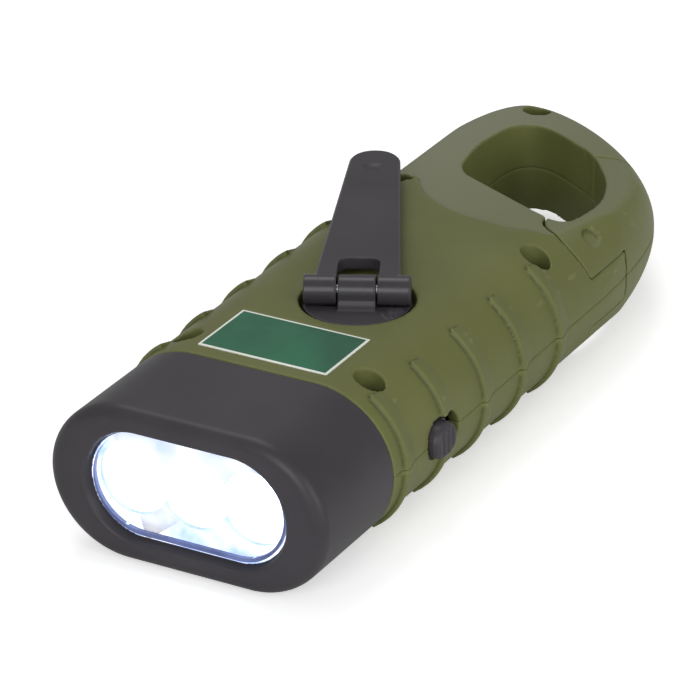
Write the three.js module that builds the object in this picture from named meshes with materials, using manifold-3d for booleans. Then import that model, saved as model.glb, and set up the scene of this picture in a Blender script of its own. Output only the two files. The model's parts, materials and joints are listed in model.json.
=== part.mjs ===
// Hand crank flashlight with a carabiner loop, built from separate pieces.
// Millimetres, +Z up. The lamp lies on its underside, its light points along -Y and its loop along +Y.
// The origin is on the resting plane, on the middle line of the body.
import * as THREE from "three";
import { mergeVertices } from "three/addons/utils/BufferGeometryUtils.js";
import Module from "manifold-3d";

const wasm = await Module();
wasm.setup();

// Casing, in plan and in section
const halfWidth = 25;
const bodyHeight = 26.8;
const wall = 2.2;
const edgeRun = 14; // how far the rounded side reaches in from the widest line
const headJointY = -32; // where the head meets the green casing
const rightStraightEnd = 36;
const leftStraightEnd = 74;
const shoulderX = 18.9; // where the gate side of the loop turns towards the tip
const shoulderY = 72.5;
const tipX = -14.5;
const tipY = 97.6;
const tipSweep = 10; // how far the tip's curve runs on each side of the tip
const shoulderLean = 7.5; // how the outline leans at the shoulder
const sideReachShare = 2; // how far each curve keeps its first direction, as a share of its lean or sweep
const shoulderInShare = 0.62;
const shoulderOutShare = 1.6;
const tipLeftShare = 0.75;
const leftSideShare = 1.6;
const planCurvePoints = 14;
const partingZ = bodyHeight / 2;

// The loop is thinner than the body: a sloping plane cuts it above and below
const slopeStartY = 34;
const slopeStartX = 3;
const slopeBack = 0.095;
const slopeSide = 0.03;
const loopEdgeRun = 5.5;
const loopEdgeSteps = 6;
const plateauDrop = 0.7; // the step from the crown down to the loop
const crownX = 7;
const crownY = 57;
const crownR = 23.4; // the crown ends on a circle round the loop's opening
const crownRearY = 46; // behind this the whole width is lowered

// Opening of the loop: its corners, counterclockwise from the one beside the gate's pivot
const holePivotX = 16.9;
const holePivotY = 41.6;
const holeSideX = 17.2;
const holeSideY = 55.2;
const holeShoulderX = 13.2;
const holeShoulderY = 65.6;
const holeGateEndX = 5;
const holeGateEndY = 76.7;
const holeBackX = -13.8;
const holeBackY = 88;
const holeLeftX = -13.7;
const holeLeftY = 68;
const holeCrownX = -10.4;
const holeCrownY = 54.6;
const holeReach = 5; // how far a corner's curve reaches along its two sides
const holeGateEndReach = 4.5;
const holeBackReach = 12;
const holeCornerPoints = 4;

// Ribs along both sides
const ribCount = 5;
const ribFirstY = -27.9;
const ribPitch = 13.17;
const ribWidth = 2.4;
const ribRise = 0.8;
const ribTopX = 19.2;

// Clearances, and how far a cutter runs past what it cuts
const gap = 0.3;
const runFit = 0.1;
const over = 1;

// Screws that hold the two halves of the casing together
const screwHeadR = 2.1;
const screwHeadH = 1.6;
const screwR = 1.2;
const screwWellR = 2.5;
const screwBossR = 3.3;
const screwSeatZ = 16.4; // underside of the screw heads
const screwLength = 11;
const screwFrontX = 16.6;
const screwFrontY = -24.8;
const screwRearRightX = 18;
const screwRearRightY = 29;
const screwRearLeftX = -16.3;
const screwRearLeftY = 44.4;
const screwTipX = -13.8;
const screwTipY = 91.2;
const tipScrewSeatZ = 14.6;
const tipScrewLength = 5.5;
const recessShare = 0.62; // of the head's radius, out to the end of the cross
const recessHalfShare = 0.14; // of the head's radius, half the cross's width
const shellScrews = [
  ["screw_front_left", -screwFrontX, screwFrontY, screwSeatZ, screwLength],
  ["screw_front_right", screwFrontX, screwFrontY, screwSeatZ, screwLength],
  ["screw_rear_right", screwRearRightX, screwRearRightY, screwSeatZ, screwLength],
  ["screw_rear_left", screwRearLeftX, screwRearLeftY, screwSeatZ, screwLength],
  ["screw_loop_tip", screwTipX, screwTipY, tipScrewSeatZ, tipScrewLength],
];

// Gate of the loop
const pivotX = 20.2;
const pivotY = 44.4;
const earR = 7.4;
const gateReach = 34.3;
const gateFromDeg = -12;
const gateToDeg = 128;
const gateEndGap = 0.39;
const gateSideGapDeg = 1;
const tongueHeight = 8.8;
const gatePinR = 1.2;
const gatePinHeadR = 1.9;
const gatePinHeadH = 1.2;
const gatePinSeatZ = 19.2;
const gatePinFootZ = 4.6;
const gateWellR = 2.1;
const springPocketR = 3.4;
const springPocketH = 4.4;
const springCoilR = 2.3;
const springWireR = 0.3;
const springTurns = 3;
const springPointsPerTurn = 10;
const springSides = 3;
const springLeg = 4.6;
const springSlotHalf = 0.8;

// Head
const headFrontY = -54.2;
const headEdge = 1.5;
const headLip = 2.1; // thickness of the rim in front of the lens
const headPlug = 3.5; // how deep the head reaches into the casing
const plugWall = 1.3;
const lipSlope = 1.1; // how much the window narrows towards the lens
const windowHalfWidth = 18.3;
const windowHalfHeight = 9.7;
const lensThick = 1.5;
const lensBorder = 0.9;
const ledPitch = 11;
const cupR = 6.2;
const cupFloorR = 2.9;
const cupWall = 0.9;
const cupSteps = 4;
const domeSteps = 3;
const headEdgeSteps = 3;
const reflectorDepth = 8.5;
const reflectorPlate = 1.4;
const ledR = 2.5;
const ledLength = 8.6;
const ledFlangeR = 2.85;
const ledFlangeH = 1;
const ledBoardHalf = 6.6;
const cupFloorThick = 1;
const boardThick = 1.6;

// Crank: disc, arm, hinge, knob
const crankX = 2.1;
const crankY = -2.8;
const crankTurnDeg = 25.8; // how far the arm is turned from straight back
const discR = 8.9;
const discThick = 2.3;
const discDrop = 0.5; // the disc's face lies this far under the casing's top
const knuckleRise = 2.1; // from the disc's face up to the hinge line
const potR = 11.3;
const potFloor = 1.2;
const recessR = 9.6;
const shaftR = 2.8;
const shaftFlat = 3.8;
const knuckleR = 2.5;
const knuckleHalf = 3.05;
const armKnuckleEnd = 8.7;
const knuckleGap = 0.3;
const hingePinR = 0.9;
const hingePinHalf = 8.1;
const armLength = 51;
const armBaseHalf = 7.05;
const armTipHalf = 4.4;
const armThick = 2.2;
const armWindowEnd = 7.2;
const armWindowHalf = 3.4;
const crankScrewHeadR = 3.3;
const crankScrewLength = 3.2;
const knobR = 3.9;
const knobThick = 1.4;
const knobFromTip = 5;
const knobRivetR = 1.1;
const knobRivetHeadR = 2.1;
const knobRivetHeadH = 0.6;
const knobRivetSunk = 0.2;
const knobRivetGrip = 1.3;

// Gear train, from the crank to the generator
const gearModule = 0.6;
const driveTeeth = 48;
const wheelTeeth = 36;
const lastWheelTeeth = 30;
const pinionTeeth = 12;
const backlash = 0.2;
const firstGearDeg = 84;
const secondGearDeg = 190;
const rotorDeg = 300;
const gearThick = 1.8;
const gearBoreR = 0.95;
const gearPinR = 0.75;
const platesGap = 0.4;
const levelGap = 1.3; // between one level of wheels and the next
const pressureDeg = 20;
const toothTipShare = 0.85; // of the module, outside the pitch circle
const toothRootShare = 1.3; // of the module, inside it
const basePlateZ = 11;
const basePlateThick = 1.3;
const topPlateThick = 1.2;
const plateEarR = 3.4;
const levelA = basePlateZ + basePlateThick + platesGap; // last wheel and rotor pinion
const levelB = levelA + gearThick + levelGap; // first wheel and second pinion
const levelC = levelB + gearThick + levelGap; // drive gear and first pinion
const postR = 2.6;
const postScrewR = 1;
const postScrewHeadR = 1.9;
const postScrewHeadH = 1.2;
const postScrewLength = 6;
const legR = 1.5;
const legEarR = 2.2;
const legs = [
  [-9.5, 27.5],
  [13.2, 25.2],
];
const posts = [
  ["gearbox_screw_right", 12.5, 8],
  ["gearbox_screw_left", -18.6, -5],
  ["gearbox_screw_rear", -2, 29],
];

// Generator
const magnetR = 6;
const magnetHeight = 5.4;
const magnetZ = 4.8;
const rotorShaftR = 0.75;
const rotorShaftFoot = 2.9;
const statorR = 9.6;
const statorWall = 1.1;
const statorHeight = 6.4;
const statorZ = 4.4;
const coilInnerR = 6.6;
const coilFlange = 0.8;

// Battery, circuit board and switch
const batteryR = 7.7;
const batteryLength = 20;
const batteryX = -1;
const batteryY = -21;
const batteryZ = wall + gap + batteryR;
const boardX = 13.6;
const boardFrontY = -20.6;
const boardRearY = 3.4;
const boardLowZ = 5;
const boardHighZ = 18.2;
const switchY = -17.2;
const switchBodyHalf = 4.3;
const switchBodyH = 5.6;
const switchBodyX = 3.2;
const leverHalf = 1;
const leverSunk = 1;
const tabR = 3.4;
const tabThick = 0.5;
const buttonCorner = 2.3;
const buttonBevel = 0.5;
const buttonLength = 6.8;
const buttonHeight = 5.8;
const buttonTravel = 2.8;
const buttonRise = 1.6;
const flangeX = 21.5; // outer face of the flange that keeps the button in
const buttonFlange = 1.3;
const buttonLip = 0.8;
const leverPocket = 0.9;
const buttonGrooves = 3;
const grooveWidth = 0.6;
const grooveDepth = 0.4;
const slotGap = 0.3;
const slotFrontY = switchY - buttonLength / 2 - slotGap;
const slotRearY = switchY + buttonLength / 2 + buttonTravel + slotGap;

// Label panel, in front of the crank
const labelWidth = 23.5;
const labelLength = 14;
const labelThick = 0.25;
const labelX = -0.5;
const labelY = -21.9;
const labelFit = 0.15;

// Wires inside the casing
const wireR = 0.55;
const wireSides = 3;
const wireFit = 0.4; // between a wire's end and what it is soldered to

// Plain materials; the finish of each is set elsewhere
function plastic(color, roughness = 0.5) {
  return new THREE.MeshStandardMaterial({ color, roughness, metalness: 0 });
}
function metal(color, roughness = 0.35) {
  return new THREE.MeshStandardMaterial({ color, roughness, metalness: 1 });
}
const green = plastic(0x5f6540);
const charcoal = plastic(0x454347);
const clear = plastic(0xf2f6fb, 0.05);
const mirror = metal(0xe8ecf2, 0.08);
const whitePlastic = plastic(0xe9e7df);
const steel = metal(0xb9bcc0);
const brass = metal(0xc7a558);
const copper = metal(0xb8693a);
const boardGreen = plastic(0x1f6b3c);
const sleeveGreen = plastic(0x2f6f4a);
const redWire = plastic(0xb3261e);
const blackWire = plastic(0x1c1c1e);
const magnetGrey = metal(0x5a5c60, 0.5);
const labelPaint = plastic(0x1f7a4d, 0.4);

// From a three.js geometry to a manifold solid, and back to a named mesh
function solidOf(geometry) {
  const bare = geometry.index ? geometry.toNonIndexed() : geometry.clone();
  bare.deleteAttribute("normal");
  bare.deleteAttribute("uv");
  const merged = mergeVertices(bare, 1e-4);
  return new wasm.Manifold(
    new wasm.Mesh({
      numProp: 3,
      vertProperties: new Float32Array(merged.attributes.position.array),
      triVerts: new Uint32Array(merged.index.array),
    }),
  );
}
const flashlight = new THREE.Group();
function place(name, solid, material) {
  const data = solid.getMesh();
  const position = new Float32Array(data.numVert * 3);
  for (let i = 0; i < data.numVert; i++) {
    const from = i * data.numProp;
    position.set(data.vertProperties.subarray(from, from + 3), i * 3);
  }
  const geometry = new THREE.BufferGeometry();
  geometry.setAttribute("position", new THREE.BufferAttribute(position, 3));
  geometry.setIndex(new THREE.BufferAttribute(new Uint32Array(data.triVerts), 1));
  geometry.computeVertexNormals();
  const mesh = new THREE.Mesh(geometry, material);
  mesh.name = name;
  flashlight.add(mesh);
  return mesh;
}
const joined = (first, ...rest) => rest.reduce((sum, piece) => sum.add(piece), first);
const without = (first, ...rest) => rest.reduce((left, piece) => left.subtract(piece), first);

// Basic solids, each given by where it starts and ends
function slab(shape, z0, z1, curveSegments = 10) {
  const geometry = new THREE.ExtrudeGeometry(shape, {
    depth: z1 - z0,
    bevelEnabled: false,
    curveSegments,
  });
  geometry.translate(0, 0, z0);
  return solidOf(geometry);
}
function rod(x, y, z0, z1, radius, sides = 24) {
  const geometry = new THREE.CylinderGeometry(radius, radius, z1 - z0, sides);
  geometry.rotateX(Math.PI / 2);
  geometry.translate(x, y, (z0 + z1) / 2);
  return solidOf(geometry);
}
function rodAlongX(x0, x1, y, z, radius, sides = 24) {
  const geometry = new THREE.CylinderGeometry(radius, radius, x1 - x0, sides);
  geometry.rotateZ(Math.PI / 2);
  geometry.translate((x0 + x1) / 2, y, z);
  return solidOf(geometry);
}
function block(x0, x1, y0, y1, z0, z1) {
  const geometry = new THREE.BoxGeometry(x1 - x0, y1 - y0, z1 - z0);
  geometry.translate((x0 + x1) / 2, (y0 + y1) / 2, (z0 + z1) / 2);
  return solidOf(geometry);
}
function ringRod(x, y, z0, z1, outer, inner, sides = 24) {
  return rod(x, y, z0, z1, outer, sides).subtract(rod(x, y, z0 - over, z1 + over, inner, sides));
}
function polar(x, y, radius, degrees) {
  const angle = THREE.MathUtils.degToRad(degrees);
  return [x + radius * Math.cos(angle), y + radius * Math.sin(angle)];
}

// A closed solid from stacked rings of points, each ring with as many points
function stack(rings) {
  const count = rings[0].length;
  const position = rings.flat().flatMap((p) => [p.x, p.y, p.z]);
  const index = [];
  for (let r = 0; r + 1 < rings.length; r++) {
    for (let i = 0; i < count; i++) {
      const a = r * count + i;
      const b = r * count + ((i + 1) % count);
      index.push(a, b, b + count, a, b + count, a + count);
    }
  }
  const flat = rings[0].map((p) => new THREE.Vector2(p.u, p.v));
  const last = (rings.length - 1) * count;
  for (const [a, b, c] of THREE.ShapeUtils.triangulateShape(flat, [])) {
    index.push(c, b, a, last + a, last + b, last + c);
  }
  const geometry = new THREE.BufferGeometry();
  geometry.setAttribute("position", new THREE.Float32BufferAttribute(position, 3));
  geometry.setIndex(index);
  return solidOf(geometry);
}

// The casing's outline in plan, counterclockwise, at a distance inside its widest line
const planFrontY = headFrontY - loopEdgeRun - over;
const planCurve = new THREE.Shape();
planCurve.moveTo(halfWidth, planFrontY);
planCurve.lineTo(halfWidth, rightStraightEnd);
planCurve.bezierCurveTo(
  halfWidth,
  rightStraightEnd + sideReachShare * shoulderLean,
  shoulderX + shoulderInShare * shoulderLean,
  shoulderY - shoulderLean,
  shoulderX,
  shoulderY,
);
planCurve.bezierCurveTo(
  shoulderX - shoulderLean,
  shoulderY + shoulderOutShare * shoulderLean,
  tipX + tipSweep,
  tipY,
  tipX,
  tipY,
);
planCurve.bezierCurveTo(
  tipX - tipLeftShare * tipSweep,
  tipY,
  -halfWidth,
  leftStraightEnd + leftSideShare * tipSweep,
  -halfWidth,
  leftStraightEnd,
);
planCurve.lineTo(-halfWidth, planFrontY);
const planPoints = planCurve.getPoints(planCurvePoints);
function outline(inset) {
  const count = planPoints.length;
  return planPoints.map((point, i) => {
    const before = planPoints[(i + count - 1) % count];
    const after = planPoints[(i + 1) % count];
    const into = point.clone().sub(before).normalize();
    const away = after.clone().sub(point).normalize();
    const bisector = into.add(away).normalize();
    const turn = away.dot(bisector);
    return new THREE.Vector2(-bisector.y, bisector.x).multiplyScalar(inset / turn).add(point);
  });
}

// A pebble: rounded all round its widest line, which lies in the parting plane
function pebble(heightAt) {
  const rings = [];
  for (let step = -loopEdgeSteps; step <= loopEdgeSteps; step++) {
    const angle = (step / loopEdgeSteps) * (Math.PI / 2);
    const inner = loopEdgeRun * (1 - Math.cos(angle));
    rings.push(
      outline(inner).map(({ x, y }) => {
        const z = partingZ + Math.sin(angle) * heightAt(x, y);
        return { x, y, z, u: x, v: y };
      }),
    );
  }
  return stack(rings);
}
const slopeHeight = (x, y) =>
  partingZ - slopeBack * (y - slopeStartY) - slopeSide * (x - slopeStartX);
const slopeEnvelope = pebble(slopeHeight);
const barRearY = tipY + over;
const crownEnd = rod(crownX, crownY, -over, bodyHeight + over, crownR, 64);
const plateau = joined(
  crownEnd,
  block(-2 * halfWidth, 2 * halfWidth, crownRearY, barRearY, -over, bodyHeight + over),
);
const loweredEnvelope = pebble((x, y) => slopeHeight(x, y) - plateauDrop);
const fullBar = sectionBar(planFrontY, barRearY, 0);
const plainBody = joined(
  fullBar.intersect(slopeEnvelope).subtract(plateau),
  fullBar.intersect(loweredEnvelope).intersect(plateau),
);
const ribBody = sectionBar(planFrontY, barRearY, -ribRise);
const cavityBody = sectionBar(planFrontY, barRearY, wall);

// Opening of the loop
function roundedShape(corners) {
  const shape = new THREE.Shape();
  const count = corners.length;
  corners.forEach(([x, y, radius], i) => {
    const corner = new THREE.Vector2(x, y);
    const [beforeX, beforeY] = corners[(i + count - 1) % count];
    const [afterX, afterY] = corners[(i + 1) % count];
    const start = new THREE.Vector2(beforeX, beforeY).sub(corner).setLength(radius).add(corner);
    const end = new THREE.Vector2(afterX, afterY).sub(corner).setLength(radius).add(corner);
    if (i === 0) shape.moveTo(start.x, start.y);
    else shape.lineTo(start.x, start.y);
    shape.quadraticCurveTo(corner.x, corner.y, end.x, end.y);
  });
  return shape;
}
const holeShape = roundedShape([
  [holePivotX, holePivotY, holeReach],
  [holeSideX, holeSideY, holeReach],
  [holeShoulderX, holeShoulderY, holeReach],
  [holeGateEndX, holeGateEndY, holeGateEndReach],
  [holeBackX, holeBackY, holeBackReach],
  [holeLeftX, holeLeftY, holeReach],
  [holeCrownX, holeCrownY, holeReach],
]);
const loopHole = slab(holeShape, -over, bodyHeight + over, holeCornerPoints);

// Side ribs: short bands of a slightly larger section
function ribBands() {
  const bands = [];
  for (let i = 0; i < ribCount; i++) {
    const y = ribFirstY + i * ribPitch;
    for (const side of [-1, 1]) {
      const inner = side * ribTopX;
      const outer = side * (halfWidth + ribRise + over);
      bands.push(
        block(
          Math.min(inner, outer),
          Math.max(inner, outer),
          y - ribWidth / 2,
          y + ribWidth / 2,
          -over,
          bodyHeight + over,
        ),
      );
    }
  }
  return joined(...bands).intersect(ribBody);
}

// Gate: the part of the loop that swings, and the space that it leaves in the casing
function sector(reach, fromDeg, toDeg) {
  const shape = new THREE.Shape();
  const from = THREE.MathUtils.degToRad(fromDeg);
  const to = THREE.MathUtils.degToRad(toDeg);
  shape.moveTo(pivotX, pivotY);
  shape.lineTo(pivotX + reach * Math.cos(from), pivotY + reach * Math.sin(from));
  shape.absarc(pivotX, pivotY, reach, from, to, false);
  shape.closePath();
  return slab(shape, -over, bodyHeight + over, 24);
}
const tongueLowZ = partingZ - tongueHeight / 2;
const tongueHighZ = partingZ + tongueHeight / 2;
const allHigh = [-over, bodyHeight + over];
const gateSector = sector(gateReach, gateFromDeg, gateToDeg);
const gateSpace = sector(
  gateReach + gateEndGap,
  gateFromDeg - gateSideGapDeg,
  gateToDeg + gateSideGapDeg,
);
const gateEars = joined(
  rod(pivotX, pivotY, -over, tongueLowZ - gap / 2, earR, 40),
  rod(pivotX, pivotY, tongueHighZ + gap / 2, bodyHeight + over, earR, 40),
);
const earSpace = joined(
  rod(pivotX, pivotY, -over, tongueLowZ, earR + gap, 40),
  rod(pivotX, pivotY, tongueHighZ, bodyHeight + over, earR + gap, 40),
);
const tongue = rod(pivotX, pivotY, tongueLowZ, tongueHighZ, earR, 40);
const tongueSpace = rod(
  pivotX,
  pivotY,
  tongueLowZ - gap / 2,
  tongueHighZ + gap / 2,
  earR + gap,
  40,
);
const casingGateCut = joined(gateSpace.subtract(tongue), earSpace);

// Springs and wires are tubes along a route
function tube(points, radius, sides, steps) {
  const route = new THREE.CatmullRomCurve3(
    points.map((p) => new THREE.Vector3(...p)),
    false,
    "centripetal",
  );
  const section = new THREE.Shape();
  section.absarc(0, 0, radius, 0, 2 * Math.PI, false);
  const geometry = new THREE.ExtrudeGeometry(section, {
    steps,
    bevelEnabled: false,
    extrudePath: route,
    curveSegments: sides,
  });
  return solidOf(geometry);
}

// Casing halves
const cavityRear = new THREE.Shape();
cavityRear.moveTo(-halfWidth, planFrontY);
cavityRear.lineTo(halfWidth, planFrontY);
cavityRear.lineTo(halfWidth, slopeStartY - gap);
cavityRear.lineTo(-halfWidth, slopeStartY + 2 * slopeStartX);
cavityRear.closePath();
const cavity = cavityBody.intersect(slab(cavityRear, ...allHigh));
const bodyFront = block(
  -2 * halfWidth,
  2 * halfWidth,
  headJointY,
  tipY + over,
  -over,
  bodyHeight + over,
);
const solidBody = joined(plainBody, ribBands()).intersect(bodyFront);
const upperSpace = block(
  -2 * halfWidth,
  2 * halfWidth,
  headFrontY,
  2 * tipY,
  partingZ,
  2 * bodyHeight,
);
const lowerSpace = block(
  -2 * halfWidth,
  2 * halfWidth,
  headFrontY,
  2 * tipY,
  -bodyHeight,
  partingZ,
);
const switchSlot = block(
  halfWidth - 3 * wall,
  halfWidth + ribRise + over,
  slotFrontY,
  slotRearY,
  partingZ - buttonHeight / 2 - slotGap,
  partingZ + buttonHeight / 2 + slotGap,
);
const pivotBore = rod(pivotX, pivotY, -over, bodyHeight + over, gatePinR + runFit, 20);
const springPocket = joined(
  rod(
    pivotX,
    pivotY,
    partingZ - springPocketH / 2,
    partingZ + springPocketH / 2,
    springPocketR,
    24,
  ),
  block(
    pivotX - springCoilR - springSlotHalf,
    pivotX - springCoilR + springSlotHalf,
    pivotY - springLeg - springSlotHalf,
    pivotY + springLeg + springSlotHalf,
    partingZ - springPocketH / 2,
    partingZ + springPocketH / 2,
  ),
);

const discTopZ = bodyHeight - discDrop;
const discBottomZ = discTopZ - discThick;
const potCeiling = discBottomZ - gap / 2;
function labelPlate(margin, height) {
  return block(
    labelX - labelWidth / 2 - margin,
    labelX + labelWidth / 2 + margin,
    labelY - labelLength / 2 - margin,
    labelY + labelLength / 2 + margin,
    bodyHeight - labelThick,
    bodyHeight - labelThick + height,
  );
}
function topShell() {
  const walls = solidBody.intersect(upperSpace).subtract(cavity);
  const pot = rod(...crankAt, potCeiling - potFloor, bodyHeight - wall + gap, potR, 40);
  const bosses = shellScrews
    .filter(([name]) => name !== "screw_loop_tip")
    .map(([, x, y]) => rod(x, y, partingZ, bodyHeight - wall / 2, screwBossR));
  const inside = joined(pot, ...bosses).intersect(plainBody);
  const wells = shellScrews.flatMap(([, x, y, seat]) => [
    rod(x, y, seat, bodyHeight + over, screwWellR),
    rod(x, y, partingZ - over, seat + over, screwR + runFit, 16),
  ]);
  return without(
    walls.add(inside),
    rod(...crankAt, potCeiling, bodyHeight + over, recessR, 48),
    rod(...crankAt, partingZ, bodyHeight, shaftR + runFit, 24),
    loopHole,
    casingGateCut,
    pivotBore,
    springPocket,
    switchSlot,
    labelPlate(labelFit, labelThick + over),
    ...wells,
  );
}
function bottomShell() {
  const walls = solidBody.intersect(lowerSpace).subtract(cavity);
  const bosses = shellScrews
    .filter(([name]) => name !== "screw_loop_tip")
    .map(([, x, y]) => rod(x, y, wall / 2, partingZ, screwBossR - wall / 3));
  const gearPosts = posts.map(([, x, y]) => rod(x, y, wall / 2, basePlateZ - gap, postR));
  const rotorSeat = rod(...rotorAt, wall / 2, magnetZ - 2 * gap, 2 * rotorShaftR);
  const statorSeat = ringRod(...rotorAt, wall / 2, statorZ, statorR, coilInnerR + coilFlange, 36);
  const cradles = [-1, 1].map((side) => {
    const x = batteryX + (side * batteryLength) / 4;
    return block(
      x - wall / 4,
      x + wall / 4,
      batteryY - batteryR + wall / 2,
      batteryY + batteryR - wall / 2,
      wall / 2,
      batteryZ - batteryR / 2,
    );
  });
  const boardFoot = block(
    boardX - wall / 2,
    boardX + boardThick + wall / 2,
    boardRearY - 3 * wall,
    boardRearY - 2 * wall,
    wall / 2,
    boardLowZ + wall,
  );
  const fittings = [...bosses, ...gearPosts, rotorSeat, statorSeat, ...cradles, boardFoot];
  const inside = joined(...fittings).intersect(plainBody);
  const pilots = shellScrews.map(([, x, y, seat, length]) =>
    rod(x, y, seat - length - gap, partingZ + over, screwR + runFit, 16),
  );
  const postPilots = posts.map(([, x, y]) =>
    rod(x, y, basePlateZ - postScrewLength, basePlateZ + over, postScrewR + runFit, 16),
  );
  return without(
    walls.add(inside),
    loopHole,
    casingGateCut,
    pivotBore,
    springPocket,
    switchSlot,
    rodAlongX(
      batteryX - batteryLength / 2 - gap,
      batteryX + batteryLength / 2 + gap,
      batteryY,
      batteryZ,
      batteryR + gap,
      32,
    ),
    block(
      boardX - gap / 2,
      boardX + boardThick + gap / 2,
      boardFrontY,
      boardRearY + gap,
      boardLowZ - gap,
      partingZ,
    ),
    rod(...rotorAt, rotorShaftFoot - gap, bodyHeight, rotorShaftR + runFit, 16),
    ...pilots,
    ...postPilots,
  );
}

// Screws with a flat round head, a cross recess and a plain shank, seated at z = 0 with the head up
function screwSolid(length, headR, headH, r) {
  const reach = headR * recessShare;
  const half = headR * recessHalfShare;
  const cross = joined(
    block(-reach, reach, -half, half, headH / 2, 2 * headH),
    block(-half, half, -reach, reach, headH / 2, 2 * headH),
  );
  return joined(rod(0, 0, 0, headH, headR, 16), rod(0, 0, -length, headH / 2, r, 10)).subtract(cross);
}
function shellScrew([name, x, y, seat, length]) {
  const solid = screwSolid(length, screwHeadR, screwHeadH, screwR);
  place(name, solid.translate([x, y, seat]), steel);
}

// Gears: involute flanks, thinned by the backlash; wheels have a hub, a web and a rim
function gearShape(teeth, turnDeg) {
  const pitchR = (gearModule * teeth) / 2;
  const pressure = THREE.MathUtils.degToRad(pressureDeg);
  const baseR = pitchR * Math.cos(pressure);
  const tipR = pitchR + toothTipShare * gearModule;
  const rootR = pitchR - toothRootShare * gearModule;
  const involute = (r) => {
    const a = Math.acos(Math.min(1, baseR / r));
    return Math.tan(a) - a;
  };
  const half = (Math.PI * gearModule - backlash) / 4 / pitchR;
  const flank = (r) => half + involute(pitchR) - involute(Math.max(r, baseR));
  const shape = new THREE.Shape();
  const levels = [rootR, pitchR, tipR];
  for (let tooth = 0; tooth < teeth; tooth++) {
    const centre = THREE.MathUtils.degToRad(turnDeg) + (2 * Math.PI * tooth) / teeth;
    const up = levels.map((r) => [r, centre - flank(r)]);
    const down = levels.map((r) => [r, centre + flank(r)]).reverse();
    for (const [r, a] of [...up, ...down]) {
      const x = r * Math.cos(a);
      const y = r * Math.sin(a);
      if (tooth === 0 && r === rootR && a < centre) shape.moveTo(x, y);
      else shape.lineTo(x, y);
    }
  }
  shape.closePath();
  return shape;
}
function gear([x, y], teeth, turnDeg, z0, z1) {
  return slab(gearShape(teeth, turnDeg), z0, z1).translate([x, y, 0]);
}
const pitchRadius = (teeth) => (gearModule * teeth) / 2;
const crankAt = [crankX, crankY];
const firstAt = polar(...crankAt, pitchRadius(driveTeeth + pinionTeeth), firstGearDeg);
const secondAt = polar(...firstAt, pitchRadius(wheelTeeth + pinionTeeth), secondGearDeg);
const rotorAt = polar(...secondAt, pitchRadius(lastWheelTeeth + pinionTeeth), rotorDeg);
const facing = (deg, teeth) => deg + 180 + 180 / teeth;

function compoundGear(name, at, wheel, wheelDeg, wheelZ, pinionDeg, pinionZ0, pinionZ1, material) {
  const body = joined(
    gear(at, wheel, wheelDeg, wheelZ, wheelZ + gearThick),
    gear(at, pinionTeeth, pinionDeg, pinionZ0, pinionZ1),
    rod(...at, Math.min(wheelZ, pinionZ0), Math.max(wheelZ, pinionZ1), 2 * gearBoreR, 16),
  );
  const bore = rod(...at, 0, bodyHeight, gearBoreR, 14);
  place(name, body.subtract(bore), material);
}

function crankTrain() {
  const driveZ1 = levelC + gearThick;
  const squareHalf = shaftFlat / 2 + runFit;
  const drive = without(
    joined(
      gear([0, 0], driveTeeth, firstGearDeg, levelC, driveZ1),
      rod(0, 0, levelC, driveZ1, 2 * shaftR, 24),
    ),
    block(-squareHalf, squareHalf, -squareHalf, squareHalf, 0, bodyHeight),
  );
  place("drive_gear", drive.translate([...crankAt, 0]), whitePlastic);
  compoundGear(
    "gear_one",
    firstAt,
    wheelTeeth,
    secondGearDeg,
    levelB,
    facing(firstGearDeg, pinionTeeth),
    levelB + gearThick,
    driveZ1,
    whitePlastic,
  );
  compoundGear(
    "gear_two",
    secondAt,
    lastWheelTeeth,
    rotorDeg,
    levelA,
    facing(secondGearDeg, pinionTeeth),
    levelA + gearThick,
    levelB + gearThick,
    whitePlastic,
  );
  for (const [name, at] of [
    ["gear_one_pin", firstAt],
    ["gear_two_pin", secondAt],
  ]) {
    place(name, rod(...at, basePlateZ - gap, topPlateZ + topPlateThick, gearPinR, 12), steel);
  }
}

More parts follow.
